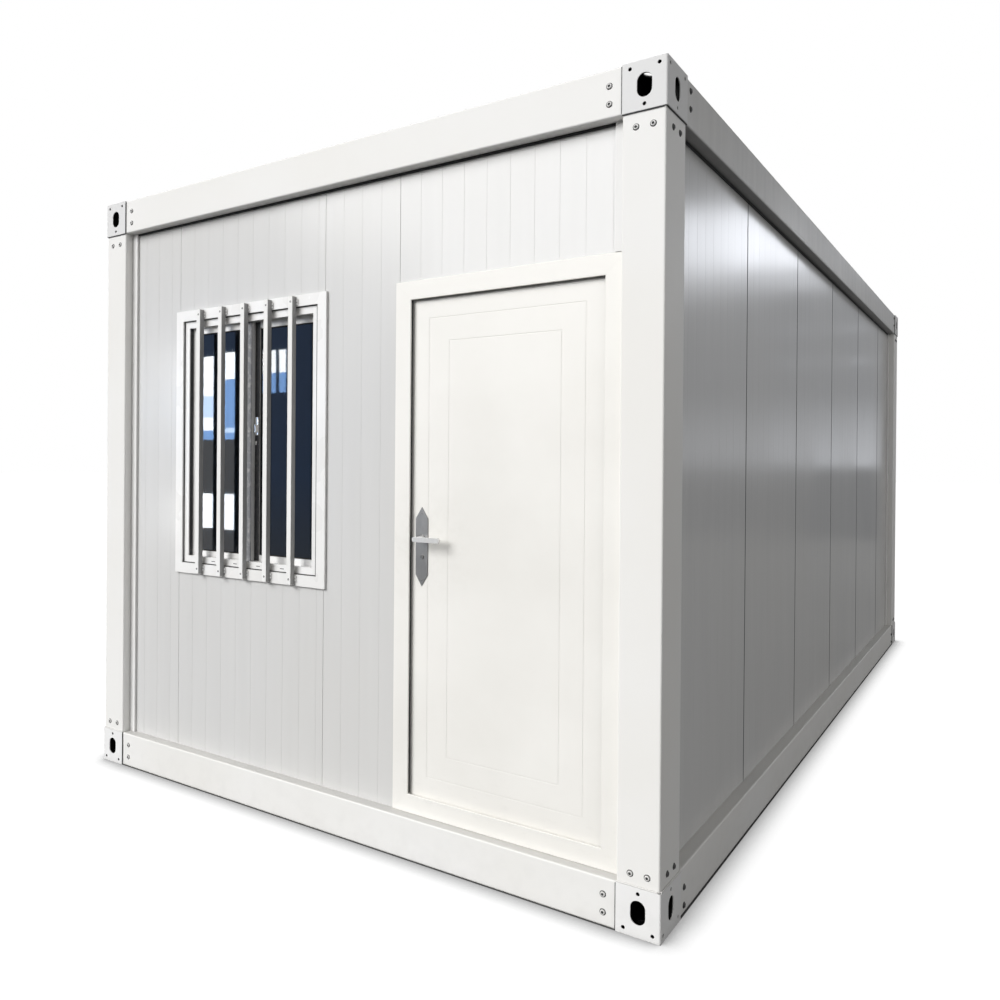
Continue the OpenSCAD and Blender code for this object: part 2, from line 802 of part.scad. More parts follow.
// Inner lever, whose neck has a square socket for the spindle.
module inside_lever() {
  arm_y = leaf_y1 + lever_reach;
  socket = lever_reach / 2;
  color("silver") on_wall("front") translate([lock_u, 0, lever_z]) difference() {
    union() {
      lever_arm(arm_y - lever_t, arm_y);
      across_wall(leaf_y1 + spindle_clear, arm_y) circle(neck_r);
    }
    across_wall(leaf_y1, leaf_y1 + socket + spindle_clear)
      square(spindle + 2 * spindle_clear, center = true);
  }
}

base_fitting(false, false);  // base_fitting_front_left
base_fitting(true, false);  // base_fitting_front_right
base_fitting(false, true);  // base_fitting_rear_left
base_fitting(true, true);  // base_fitting_rear_right
roof_fitting(false, false);  // roof_fitting_front_left
roof_fitting(true, false);  // roof_fitting_front_right
roof_fitting(false, true);  // roof_fitting_rear_left
roof_fitting(true, true);  // roof_fitting_rear_right
corner_post(false, false);  // corner_post_front_left
corner_post(true, false);  // corner_post_front_right
corner_post(false, true);  // corner_post_rear_left
corner_post(true, true);  // corner_post_rear_right
base_beam("front");  // base_beam_front
base_beam("rear");  // base_beam_rear
base_beam("left");  // base_beam_left
base_beam("right");  // base_beam_right
roof_beam("front");  // roof_beam_front
roof_beam("rear");  // roof_beam_rear
roof_beam("left");  // roof_beam_left
roof_beam("right");  // roof_beam_right
floor_joists();
floor_board();
ceiling_panel();
roof_sheet();
left_wall_panels();
right_wall_panels();
rear_wall_panels();
front_panel_left();
front_panel_under_window();
front_panel_over_window();
front_panel_middle();
front_panel_over_door();
wall_end_trims();
window_casing();
window_sliding_frame();
window_sashes();
window_glass();
window_bars();
door_lock_jamb();
door_hinge_jamb();
door_head();
door_sill();
door_seal();
door_leaf();
door_hinge_jamb_halves();
door_hinge_leaf_halves();
lock_plates();
outside_lever();
inside_lever();
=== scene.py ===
# %% [markdown]
# # A flat-pack container house
#
# The real house is a bolted steel frame with sandwich panels between the posts, one barred sliding
# window and one door in its end wall. The solids come from the frame, already in place and at their
# real size, in metres. This lesson gives them finishes, adds the small fittings that a catalogue
# picture shows, and sets up the camera and the light.

# %% Load the house
import json
import math

import bmesh
import bpy
from mathutils import Matrix, Vector


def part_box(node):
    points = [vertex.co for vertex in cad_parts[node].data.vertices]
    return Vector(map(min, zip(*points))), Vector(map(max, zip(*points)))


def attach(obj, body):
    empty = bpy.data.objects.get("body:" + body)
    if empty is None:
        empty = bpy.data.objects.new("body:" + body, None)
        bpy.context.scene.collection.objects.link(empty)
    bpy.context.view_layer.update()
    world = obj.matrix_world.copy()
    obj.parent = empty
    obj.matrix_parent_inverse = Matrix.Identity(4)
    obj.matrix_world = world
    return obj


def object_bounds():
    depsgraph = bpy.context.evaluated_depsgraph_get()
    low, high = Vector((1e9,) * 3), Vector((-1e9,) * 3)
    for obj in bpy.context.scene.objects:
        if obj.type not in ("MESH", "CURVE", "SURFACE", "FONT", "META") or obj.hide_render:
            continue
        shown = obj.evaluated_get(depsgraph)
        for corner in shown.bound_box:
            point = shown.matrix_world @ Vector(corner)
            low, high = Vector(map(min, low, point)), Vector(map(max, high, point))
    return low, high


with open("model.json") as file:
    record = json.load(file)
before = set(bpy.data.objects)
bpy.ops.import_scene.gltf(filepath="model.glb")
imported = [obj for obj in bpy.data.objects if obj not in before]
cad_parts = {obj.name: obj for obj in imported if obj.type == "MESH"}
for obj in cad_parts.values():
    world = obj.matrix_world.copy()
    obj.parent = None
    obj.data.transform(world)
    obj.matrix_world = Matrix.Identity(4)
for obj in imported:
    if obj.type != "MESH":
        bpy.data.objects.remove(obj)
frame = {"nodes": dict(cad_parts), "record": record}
cad_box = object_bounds()
scene = bpy.context.scene
scene.view_settings.view_transform = "Standard"
MM = 0.001
print("house", [round(v, 3) for v in cad_box[1] - cad_box[0]], "m, nodes", len(frame["nodes"]))

# %% [markdown]
# ## Camera
#
# The picture was taken from just outside the right-hand corner of the door end, at eye height and
# almost level. Blender could aim a camera with a constraint, but a picture that was cropped off centre
# needs a lens shift, so the view is written as an eye point, three angles and a shift.

# %% Place the camera
IMAGE_PX, FOCAL_PX = 1000, 860.5
LENS_SHIFT = (0.0794, -0.034)
eye = Vector((2.457, -5.762, 1.562))
yaw, pitch, roll = (math.radians(angle) for angle in (35.20, -0.19, 0.43))

camera_data = bpy.data.cameras.new("camera")
camera_data.sensor_width = 36
camera_data.lens = camera_data.sensor_width * FOCAL_PX / IMAGE_PX
camera_data.shift_x, camera_data.shift_y = LENS_SHIFT
camera = bpy.data.objects.new("camera", camera_data)
scene.collection.objects.link(camera)
scene.camera = camera

forward = Vector((-math.sin(yaw) * math.cos(pitch), math.cos(yaw) * math.cos(pitch), math.sin(pitch)))
right = Vector((math.cos(yaw), math.sin(yaw), 0))
turn = Matrix((right, right.cross(forward), -forward)).transposed() @ Matrix.Rotation(roll, 3, "Z")
camera.matrix_world = Matrix.Translation(eye) @ turn.to_4x4()
print("lens", round(camera_data.lens, 2), "mm")

# %% [markdown]
# ## Wiring nodes
#
# The light, the finishes and the repeated pieces are all trees of nodes. Each node could be added and
# linked in its own lines, which soon fills pages. Three short helpers do it instead: an input takes a
# plain value or another node's output, and a Math node is one call.


# %% Helpers for nodes
def feed(tree, socket, value):
    """Gives an input a plain value, or links it to another node's output."""
    if isinstance(value, bpy.types.NodeSocket):
        tree.links.new(value, socket)
    else:
        socket.default_value = value


def add_node(tree, kind, inputs=None, **settings):
    """A new node with its settings made and its inputs fed, by name or by number."""
    made = tree.nodes.new(kind)
    for name, value in settings.items():
        setattr(made, name, value)
    for name, value in (inputs or {}).items():
        feed(tree, made.inputs[name], value)
    return made


def reckon(tree, operation, *terms):
    """What a Math node makes of its terms."""
    return add_node(tree, "ShaderNodeMath", dict(enumerate(terms)), operation=operation).outputs[0]


print("node helpers ready")

# %% [markdown]
# ## Floor and light
#
# The house stands on a plain white studio floor. A broad, low sun from the front left lights the door
# end, and a weak one from the right and a dim world fill the long side, which is about three times
# darker. A third sun keeps the rear and the roof readable from the other sides. Large area lamps would
# do too, but suns light a house of six metres evenly from end to end. Camera rays and rays through the
# glass see a white world, so that the background stays white without more light on the house. Mirror
# rays see a greyer one, like the yard round a real house.

# %% World
FILL, WHITE, MIRROR_SHARE = 0.16, 1.0, 0.3
world = bpy.data.worlds.new("studio")
scene.world = world
world.use_nodes = True
sky = world.node_tree
rays = add_node(sky, "ShaderNodeLightPath").outputs
shown = rays["Is Camera Ray"]
for other in (reckon(sky, "MULTIPLY", rays["Is Glossy Ray"], MIRROR_SHARE), rays["Is Transmission Ray"]):
    shown = reckon(sky, "MAXIMUM", shown, other)
level = add_node(sky, "ShaderNodeMapRange", {"Value": shown, "To Min": FILL, "To Max": WHITE})
background = sky.nodes["Background"].inputs
feed(sky, background["Color"], (1, 1, 1, 1))
feed(sky, background["Strength"], level.outputs["Result"])
print("world fill", FILL)


# %% Studio floor
def stage_card(name, corners, material):
    """A flat four-cornered card that is no part of the house."""
    mesh = bpy.data.meshes.new(name)
    mesh.from_pydata(corners, [], [(0, 1, 2, 3)])
    mesh.materials.append(material)
    card = bpy.data.objects.new(name, mesh)
    scene.collection.objects.link(card)
    print(name)
    return card


def stage_material(name, make):
    """A material whose shader is what make adds to its bare tree."""
    material = bpy.data.materials.new(name)
    material.use_nodes = True
    tree = material.node_tree
    tree.nodes.remove(tree.nodes["Principled BSDF"])
    feed(tree, tree.nodes["Material Output"].inputs["Surface"], make(tree).outputs[0])
    return material


FLOOR_REACH, FLOOR_COLOUR, FLOOR_MIRROR_SHARE = 90, (0.10, 0.10, 0.10, 1), 0.15
SHADOW_REACH = 0.13
SHADOW_TONES = {"From Min": 0.45, "From Max": 0.95, "To Min": 0.26, "To Max": 0.99}


def floor_white(tree):
    """Dull floor that camera rays see lifted to white, with a painted shadow: soft grey round the house and
    dark under it.
    """
    matt = add_node(tree, "ShaderNodeBsdfDiffuse", {"Color": FLOOR_COLOUR})
    near = add_node(tree, "ShaderNodeAmbientOcclusion", {"Distance": SHADOW_REACH}, samples=8)
    shade = add_node(tree, "ShaderNodeMapRange", {"Value": near.outputs["AO"], **SHADOW_TONES})
    spot = add_node(tree, "ShaderNodeTexCoord").outputs["Object"]
    reach = add_node(tree, "ShaderNodeVectorMath", {0: spot}, operation="ABSOLUTE")
    past = add_node(tree, "ShaderNodeVectorMath", {0: reach.outputs[0], 1: cad_box[1]}, operation="SUBTRACT")
    sides = add_node(tree, "ShaderNodeSeparateXYZ", {0: past.outputs[0]}).outputs
    outside = reckon(tree, "GREATER_THAN", reckon(tree, "MAXIMUM", sides["X"], sides["Y"]), 0.0)
    rays = add_node(tree, "ShaderNodeLightPath").outputs
    seen = reckon(tree, "MULTIPLY_ADD", rays["Is Glossy Ray"], FLOOR_MIRROR_SHARE, rays["Is Camera Ray"])
    # Painted shadow: the white is dimmed near the house by ambient occlusion and left out under it.
    for share in (shade.outputs[0], outside):
        seen = reckon(tree, "MULTIPLY", seen, share)
    glow = add_node(tree, "ShaderNodeEmission", {"Strength": seen})
    return add_node(tree, "ShaderNodeAddShader", {0: matt.outputs[0], 1: glow.outputs[0]})


floor_corners = [(x * FLOOR_REACH, y * FLOOR_REACH, 0) for x, y in ((-1, -1), (1, -1), (1, 1), (-1, 1))]
stage_card("studio_floor", floor_corners, stage_material("studio_floor_white", floor_white))

# %% [markdown]
# ## What the gloss shows
#
# The coated side wall and the panes are glossy, so they need something to mirror. Along the side wall
# the picture shows a dull yard under a bright strip, and in the panes a row of pale and blue bands. A
# picture of a yard would do, but a few plain cards that only mirror rays see keep the studio plain.


# %% Cards for mirror rays
def mirror_card(name, ends, low, high, material):
    """An upright card over the line between two ends, (x, y) each, that only mirror-like surfaces show."""
    (x0, y0), (x1, y1) = ends
    corners = [(x0, y0, low), (x1, y1, low), (x1, y1, high), (x0, y0, high)]
    card = stage_card(name, corners, material)
    card.visible_camera = False
    card.visible_diffuse = False
    card.visible_shadow = False


def banded_glow(name, height, bands, steps="LINEAR"):
    """Glowing material whose colour changes with the height, given as (share, colour) stops."""
    def make(tree):
        spot = add_node(tree, "ShaderNodeTexCoord").outputs["Object"]
        rise = add_node(tree, "ShaderNodeSeparateXYZ", {0: spot}).outputs["Z"]
        share = add_node(tree, "ShaderNodeMapRange", {"Value": rise, "From Max": height})
        ramp = add_node(tree, "ShaderNodeValToRGB", {0: share.outputs[0]})
        stops = ramp.color_ramp.elements
        ramp.color_ramp.interpolation = steps
        while len(stops) < len(bands):
            stops.new(0.5)
        for stop, (position, colour) in zip(stops, bands):
            stop.position = position
            stop.color = (*colour, 1)
        return add_node(tree, "ShaderNodeEmission", {"Color": ramp.outputs["Color"]})

    return stage_material(name, make)


print("card helpers ready")

# %% Card beside the long wall
FLAT_H, FLAT_ENDS = 10.0, ((1.6, 15), (13, 12))
FLAT_BANDS = (
    (0.0, 0.14), (0.15, 0.16), (0.16, 0.85), (0.24, 0.60), (0.31, 0.32), (0.375, 0.34), (0.38, 0.9),
    (0.385, 0.34), (0.445, 0.34), (0.45, 0.9), (0.455, 0.36), (0.53, 0.38), (0.55, 1.3), (0.585, 1.2),
    (0.60, 3.6), (0.72, 3.6), (0.75, 0.3), (1.0, 0.2),
)
flat_glow = banded_glow("side_card_grey", FLAT_H, [(at, (v * 0.97, v, v * 1.07)) for at, v in FLAT_BANDS])
mirror_card("side_card", FLAT_ENDS, 0, FLAT_H, flat_glow)

# %% Cards before the window
CARD_Y, CARD_H, BACK_GAP = -9.0, 4.5, 0.1
NAVY, SHADE, DARK = (0.30, 0.42, 0.68), (0.42, 0.45, 0.50), (0.95, 0.93, 0.92)
SKY, BRIGHT, PALE = (2.9, 5.0, 9.0), (17.0, 17.0, 17.0), (9.0, 11.0, 14.0)
LOW_BANDS = ((0.0, DARK), (0.119, BRIGHT), (0.236, DARK), (0.42, SKY))
LEFT_BANDS = LOW_BANDS + ((0.453, BRIGHT), (0.496, PALE), (0.57, BRIGHT), (0.70, NAVY))
MIDDLE_BANDS = LOW_BANDS + ((0.445, PALE), (0.46, SKY), (0.62, BRIGHT), (0.71, NAVY))
SPOT_BANDS = ((0.0, SKY), (0.63, BRIGHT))
BACK_ENDS, LEFT_ENDS, MIDDLE_ENDS = (-10.5, -4.0), (-8.25, -7.6), (-7.6, -6.95)
SPOT_ENDS = ((-6.81, -6.64), (-6.54, -6.41), (-6.34, -6.21))
SPOT_LOW, SPOT_HIGH = 2.56, 3.17


def window_card(name, ends, material, y=CARD_Y, low=0.0, high=CARD_H):
    """A mirror card that faces the window, between two places across."""
    mirror_card(name, [(x, y) for x in ends], low, high, material)


navy_glow = banded_glow("pane_card_navy", CARD_H, ((0.0, SHADE), (0.3, NAVY)))
window_card("pane_card_back", BACK_ENDS, navy_glow, CARD_Y - BACK_GAP)
for side, ends, bands in (("left", LEFT_ENDS, LEFT_BANDS), ("middle", MIDDLE_ENDS, MIDDLE_BANDS)):
    band_glow = banded_glow(f"pane_card_{side}_bands", CARD_H, bands, "CONSTANT")
    window_card(f"pane_card_{side}", ends, band_glow)
spot_glow = banded_glow("pane_card_spots", CARD_H, SPOT_BANDS, "CONSTANT")
for i, ends in enumerate(SPOT_ENDS):
    window_card(f"pane_card_spot_{i + 1}", ends, spot_glow, low=SPOT_LOW, high=SPOT_HIGH)


# %% Soft suns
def soft_sun(name, side, height, energy, spread):
    """A sun that stands side degrees from the front, left if below zero, and height degrees up."""
    data = bpy.data.lights.new(name, "SUN")
    data.energy = energy
    data.angle = math.radians(spread)
    lamp = bpy.data.objects.new(name, data)
    across, up = math.radians(side), math.radians(height)
    came_from = Vector((math.sin(across) * math.cos(up), -math.cos(across) * math.cos(up), math.sin(up)))
    lamp.rotation_mode = "QUATERNION"
    lamp.rotation_quaternion = came_from.to_track_quat("Z", "Y")
    scene.collection.objects.link(lamp)
    print(name, [round(v, 2) for v in came_from])


soft_sun("key_sun", side=-26, height=28, energy=3.35, spread=40)
soft_sun("fill_sun", side=68, height=12, energy=1.0, spread=70)
soft_sun("back_sun", side=-150, height=35, energy=1.6, spread=60)

# %% [markdown]
# ## A finish, built effect by effect
#
# Paint, sheet, rubber and glass all need the same few effects: soft patches of colour, a change of
# gloss, dust near the ground, painted shade in corners and seams, a fine relief and rounded edges. Each
# could be wired by hand in the shader editor. A small class keeps the wiring in one place, and every
# pattern reads Object coordinates, which are metres on this house.


# %% The finish class
class Finish:
    """A procedural material on Object coordinates."""

    def __init__(self, name, sockets):
        self.material = bpy.data.materials.new(name)
        self.material.use_nodes = True
        self.tree = self.material.node_tree
        self.shader = self.tree.nodes["Principled BSDF"]
        for socket, value in sockets.items():
            self.shader.inputs[socket].default_value = value
        self.place = self.node("ShaderNodeTexCoord").outputs["Object"]
        self.painted = None
        self.normal = None

    def node(self, kind, inputs=None, **settings):
        return add_node(self.tree, kind, inputs, **settings)

    def reckon(self, operation, *terms):
        return reckon(self.tree, operation, *terms)

    def noise(self, size, detail=3.0, stretch=(1, 1, 1)):
        """Soft patches about size metres across, drawn out along the axes by stretch."""
        scale = [1 / (size * s) for s in stretch]
        spot = self.node("ShaderNodeMapping", {"Vector": self.place, "Scale": scale})
        inputs = {"Vector": spot.outputs["Vector"], "Scale": 1.0, "Detail": detail}
        return self.node("ShaderNodeTexNoise", inputs).outputs["Fac"]

    def axis(self, name):
        return self.node("ShaderNodeSeparateXYZ", {"Vector": self.place}).outputs[name]

    def facing(self, axis):
        """1 on faces that look along an axis, 0 on those that look across it and -1 on the far ones."""
        normal = self.place.node.outputs["Normal"]
        return self.node("ShaderNodeSeparateXYZ", {"Vector": normal}).outputs[axis]

    def span(self, value, low, high, to_low=0.0, to_high=1.0):
        """The value between low and high, spread over another range and held at its ends."""
        inputs = {"Value": value, "From Min": low, "From Max": high, "To Min": to_low, "To Max": to_high}
        return self.node("ShaderNodeMapRange", inputs, clamp=True).outputs["Result"]

    def corners(self, reach):
        """1 in open places and 0 deep in a corner or seam, where the finishes paint shade."""
        return self.node("ShaderNodeAmbientOcclusion", {"Distance": reach}, samples=4).outputs["AO"]

    def colour(self, mask, a, b):
        """Colours the surface from a, where the mask is 0, to b, where it is 1."""
        made = self.node("ShaderNodeMix", {0: mask, 6: a, 7: b}, data_type="RGBA")
        self.painted = made.outputs[2]
        feed(self.tree, self.shader.inputs["Base Color"], self.painted)

    def tint(self, mask, shade):
        """Lays a shade over the present colour, as far as the mask says."""
        self.colour(mask, self.painted, shade)

    def roughness(self, value, low, high):
        feed(self.tree, self.shader.inputs["Roughness"], self.span(value, 0.3, 0.7, low, high))

    def set_normal(self, socket):
        self.normal = socket
        feed(self.tree, self.shader.inputs["Normal"], socket)

    def soft_edges(self, radius):
        self.set_normal(self.node("ShaderNodeBevel", {"Radius": radius}, samples=4).outputs["Normal"])

    def relief(self, height, depth):
        inputs = {"Height": height, "Distance": depth}
        if self.normal:
            inputs["Normal"] = self.normal
        self.set_normal(self.node("ShaderNodeBump", inputs).outputs["Normal"])


def grey(level, warm=0.0):
    """A grey of that linear level, a little yellow if warm is above zero and blue if it is below."""
    return (level * (1 + warm), level, level * (1 - 2.5 * warm), 1.0)


finishes = {}
print("finish effects ready")

# %% [markdown]
# ## Paint on the frame
#
# The posts, beams and corner fittings are powder coated. The coat has a very fine orange peel, is a
# little uneven over long lengths and gathers grey dust near the ground. It is darker on the ledges,
# partly dust and partly painted shade, and in the seams, where the darkness is painted shade.
# The long roof beams carry painted shade: grey streaks on their faces, darkest on their undersides.
# A paint with one flat colour would look like plastic, so colour, gloss and relief all vary a little.


# %% Powder coat
def powder_coat(name, level, warm, dust_top, edge):
    coat = Finish(name, {"Specular IOR Level": 0.10})
    patches = coat.noise(0.7, 4)
    coat.colour(coat.span(patches, 0.35, 0.65), grey(level * 0.965, warm + 0.006), grey(level, warm))
    # Painted shade: the coat darkens in seams and corners by ambient occlusion.
    coat.tint(coat.span(coat.corners(0.035), 0.25, 0.8, 0.3, 0.0), grey(level * 0.38, 0.03))
    low = coat.span(coat.axis("Z"), 0.0, dust_top, 1.0, 0.0)
    dust = coat.reckon("MULTIPLY", low, coat.span(coat.noise(0.06, 5), 0.45, 0.75, 0.0, 0.12))
    # Up-facing ledges are darker: partly dust, partly painted shade, as little light falls on them from
    # above.
    ledge_dust_and_shade = coat.span(coat.facing("Z"), 0.6, 0.95, 0.0, coat.span(patches, 0.3, 0.7, 0.45, 0.65))
    coat.tint(coat.reckon("MAXIMUM", dust, ledge_dust_and_shade), grey(0.45, 0.02))
    coat.roughness(patches, 0.42, 0.54)
    coat.soft_edges(edge)
    coat.relief(coat.noise(0.5, 1), 1.2 * MM)
    coat.relief(coat.noise(0.0014, 1), 0.02 * MM)
    return coat


ROOF_FRAME_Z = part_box("roof_beam_left")[0].z - MM
LONG_BEAM_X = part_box("roof_beam_front")[1].x + MM


def frame_coat():
    """The coat of posts and beams, with painted shade on the long roof beams: grey streaks and dark
    undersides.
    """
    coat = powder_coat("white_powder_coat", 0.82, 0.008, 0.22, 1.5 * MM)
    out = coat.reckon("ABSOLUTE", coat.axis("X"))
    eaves = coat.reckon("GREATER_THAN", out, LONG_BEAM_X)
    eaves = coat.reckon("MULTIPLY", eaves, coat.reckon("GREATER_THAN", coat.axis("Z"), ROOF_FRAME_Z))
    # Painted shade and dark reflection: grey streaks on the faces of the long roof beams.
    streaks = coat.span(coat.noise(0.06, 4, (1, 1, 10)), 0.3, 0.7, 0.31, 0.41)
    coat.tint(coat.reckon("MULTIPLY", eaves, streaks), grey(0.26, -0.01))
    # Painted shade on the undersides of the long roof beams.
    under = coat.span(coat.facing("Z"), -0.95, -0.6, 0.55, 0.0)
    coat.tint(coat.reckon("MULTIPLY", eaves, under), grey(0.20, -0.01))
    return coat.material


def bar_enamel():
    """Enamel with painted shade: the sides of the tubes, facing across the window, are darker grey."""
    coat = powder_coat("white_bar_enamel", 0.84, 0.004, 0.10, 1.5 * MM)
    across = coat.facing("X")
    # Painted shade on the sides of the bars.
    coat.tint(coat.span(coat.reckon("MULTIPLY", across, across), 0.4, 0.9, 0.0, 0.65), grey(0.13, -0.01))
    return coat.material


finishes["frame_paint"] = frame_coat()
finishes["bar_paint"] = bar_enamel()
finishes["trim_sheet"] = powder_coat("white_trim_paint", 0.80, 0.004, 0.30, 0.8 * MM).material
print("powder coats made")

# %% Coat of the corner fittings
UNSHADED_RIM = 2.5 * MM


def fitting_coat(name, level):
    """The coat of the corner fittings, with painted shade, near black, in the slots, the bolt holes and the
    hollow boxes.
    """
    coat = powder_coat(name, level, 0.001, 0.22, 2 * MM)
    depth = coat.reckon("SUBTRACT", cad_box[1].z, coat.axis("Z"))
    for axis, face in (("X", cad_box[1].x), ("Y", cad_box[1].y)):
        reach = coat.reckon("ABSOLUTE", coat.axis(axis))
        depth = coat.reckon("MINIMUM", depth, coat.reckon("SUBTRACT", face, reach))
    # Painted shade: deeper than the rim, the inside of each fitting is near black.
    coat.tint(coat.span(depth, UNSHADED_RIM, UNSHADED_RIM + MM), grey(0.010))
    return coat.material


finishes["roof_fitting"] = fitting_coat("grey_roof_fitting_coat", 0.72)
finishes["base_fitting"] = fitting_coat("white_base_fitting_coat", 0.83)
print("fitting coats made")

# %% [markdown]
# ## Coated panel sheet
#
# The sandwich panels have a thin coated steel face. Thin sheet is never quite flat: it shows long,
# shallow waves that stretch the reflections, and faint streaks where rain ran down. Modelled waves would
# need a fine mesh on every panel, so both are noise in the finish, drawn out along the height of the wall.


# %% Panel, ceiling and roof sheet
def coated_sheet(name, level, warm, gloss, wave):
    sheet = Finish(name, {"Specular IOR Level": 0.35})
    streaks = sheet.noise(0.09, 3, (1, 1, 14))
    patches = sheet.noise(0.9, 2)
    sheet.colour(sheet.span(streaks, 0.35, 0.7), grey(level * 0.965, warm), grey(level, warm))
    sheet.tint(sheet.span(patches, 0.4, 0.7, 0.0, 0.4), grey(level * 0.95, warm + 0.01))
    # Painted shade: the sheet darkens in seams and corners by ambient occlusion.
    sheet.tint(sheet.span(sheet.corners(0.05), 0.35, 0.9, 0.18, 0.0), grey(level * 0.5, 0.02))
    sheet.roughness(patches, gloss, gloss + 0.08)
    sheet.relief(sheet.noise(0.45, 1, (1, 1, 3)), wave)
    sheet.relief(sheet.noise(0.022, 2, (1, 1, 60)), 0.05 * wave)
    sheet.relief(sheet.noise(0.004, 2), 0.02 * MM)
    return sheet


def roof_finish():
    roof = coated_sheet("roof_sheet", 0.58, -0.01, 0.40, 2.0 * MM)
    dirt = roof.span(roof.noise(0.35, 6, (2.5, 1, 1)), 0.5, 0.72, 0.0, 0.55)
    roof.tint(dirt, grey(0.32, 0.015))
    return roof.material


finishes["panel_sheet"] = coated_sheet("panel_sheet", 0.65, 0.004, 0.16, 2.5 * MM).material
finishes["ceiling_sheet"] = coated_sheet("ceiling_sheet", 0.76, 0.0, 0.40, 1.0 * MM).material
finishes["roof_sheet"] = roof_finish()
print("sheet finishes made")

# %% [markdown]
# ## Door paint, window plastic and glass
#
# The door and its frame are a warmer white than the panels, with a hand-worn patch round the lever.
# The window is glossy white plastic. The panes are very slightly wavy, and the dim room behind them
# reads as dark blue-grey. A dark card behind them would do that for one view only, so the glass itself
# has the tint.


# %% Door, window and glass
def door_paint():
    paint = Finish("warm_door_paint", {"Specular IOR Level": 0.4})
    lo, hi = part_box("lock_plates")
    patches = paint.noise(0.4, 4)
    paint.colour(paint.span(patches, 0.35, 0.65), grey(0.78, 0.020), grey(0.82, 0.018))
    away = paint.node("ShaderNodeVectorMath", {0: paint.place, 1: (lo + hi) / 2}, operation="DISTANCE")
    near = paint.span(away.outputs["Value"], 0.08, 0.30, 1.0, 0.0)
    smudges = paint.span(paint.noise(0.03, 5), 0.45, 0.7, 0.0, 0.10)
    paint.tint(paint.reckon("MULTIPLY", near, smudges), grey(0.48, 0.05))
    low = paint.span(paint.axis("Z"), 0.2, 0.5, 1.0, 0.0)
    scuffs = paint.span(paint.noise(0.02, 4, (3, 3, 1)), 0.58, 0.75, 0.0, 0.10)
    paint.tint(paint.reckon("MULTIPLY", low, scuffs), grey(0.42, 0.03))
    # Painted shade: the paint darkens in seams and corners by ambient occlusion.
    paint.tint(paint.span(paint.corners(0.015), 0.3, 0.8, 0.15, 0.0), grey(0.25, 0.03))
    paint.roughness(patches, 0.36, 0.46)
    paint.soft_edges(1.5 * MM)
    paint.relief(paint.noise(0.6, 1), 1.0 * MM)
    paint.relief(paint.noise(0.0022, 1), 0.03 * MM)
    return paint.material


def window_plastic():
    plastic = Finish("white_window_plastic", {"Specular IOR Level": 0.5})
    patches = plastic.noise(0.25, 3)
    plastic.colour(plastic.span(patches, 0.35, 0.65), grey(0.79, 0.01), grey(0.84, 0.004))
    # Painted shade: the plastic darkens in corners and seams by ambient occlusion.
    plastic.tint(plastic.span(plastic.corners(0.02), 0.3, 0.8, 0.6, 0.0), grey(0.28, 0.03))
    plastic.roughness(patches, 0.24, 0.34)
    plastic.soft_edges(1.5 * MM)
    plastic.relief(plastic.noise(0.03, 2), 0.03 * MM)
    return plastic.material


def tinted_glass():
    clear = {"Roughness": 0.02, "IOR": 1.5, "Transmission Weight": 1.0, "Specular IOR Level": 1.0}
    glass = Finish("tinted_glass", clear)
    haze = glass.span(glass.noise(0.5, 3), 0.35, 0.7)
    glass.colour(haze, (0.20, 0.27, 0.36, 1), (0.25, 0.32, 0.40, 1))
    glass.relief(glass.noise(0.6, 1), 0.5 * MM)
    return glass.material


finishes["door_paint"] = door_paint()
finishes["window_plastic"] = window_plastic()
finishes["glass"] = tinted_glass()
print("door and window finishes made")

# %% [markdown]
# ## Metal, rubber and floor
#
# The lock and hinges are satin steel, brushed along the height of the plate, and the bolt heads on the
# side walls are dark, a painted shade. Joists are galvanised, with the crystal spangle that zinc grows.
# Seals are dull black rubber with a trace of dust, and the sealant is a paler grey. The black rubber is
# also used as painted shade in slots, sockets and gaps, and the grey joint rubber as painted shade in
# seams. The floor is a sealed board with a printed plank pattern, laid along the house. Each could be
# one colour with its own gloss, but drawn-out noise, cells and a brick pattern cost little and hold up
# when seen close by.


# %% Metals
def brushed_steel(name, level, low, high, metal=1.0):
    steel = Finish(name, {"Metallic": metal})
    lines = steel.noise(0.0016, 2, (1, 1, 25))
    steel.colour(lines, grey(level * 0.82, 0.01), grey(level, 0.01))
    steel.roughness(lines, low, high)
    steel.soft_edges(1.0 * MM)
    steel.relief(lines, 0.02 * MM)
    return steel.material


def galvanised():
    zinc = Finish("galvanised_steel", {"Metallic": 0.85})
    cells = zinc.node("ShaderNodeTexVoronoi", {"Vector": zinc.place, "Scale": 70.0})
    spangle = zinc.node("ShaderNodeSeparateColor", {"Color": cells.outputs["Color"]}).outputs["Red"]
    zinc.colour(spangle, grey(0.42, -0.01), grey(0.58, -0.01))
    zinc.roughness(spangle, 0.38, 0.55)
    zinc.relief(zinc.noise(0.01, 3), 0.05 * MM)
    return zinc.material


finishes["lock_steel"] = brushed_steel("satin_lock_steel", 0.30, 0.28, 0.42)
finishes["lever_steel"] = brushed_steel("polished_lever_steel", 0.90, 0.16, 0.26, metal=0.5)
finishes["hinge_steel"] = brushed_steel("satin_hinge_steel", 0.55, 0.32, 0.46)
# Painted shade: a dark steel for the bolt heads on the side walls.
finishes["bolt_steel"] = brushed_steel("bolt_steel_dark_as_painted_shade", 0.09, 0.34, 0.48, metal=0.4)
finishes["galvanised"] = galvanised()
print("metals made")


# %% Rubber, sealant and floor board
def rubber(name, level):
    strip = Finish(name, {"Specular IOR Level": 0.3})
    dust = strip.noise(0.02, 5)
    strip.colour(strip.span(dust, 0.5, 0.8, 0.0, 0.5), grey(level, -0.02), grey(level * 3.5, 0.02))
    strip.roughness(dust, 0.55, 0.75)
    strip.relief(strip.noise(0.003, 2), 0.05 * MM)
    return strip.material


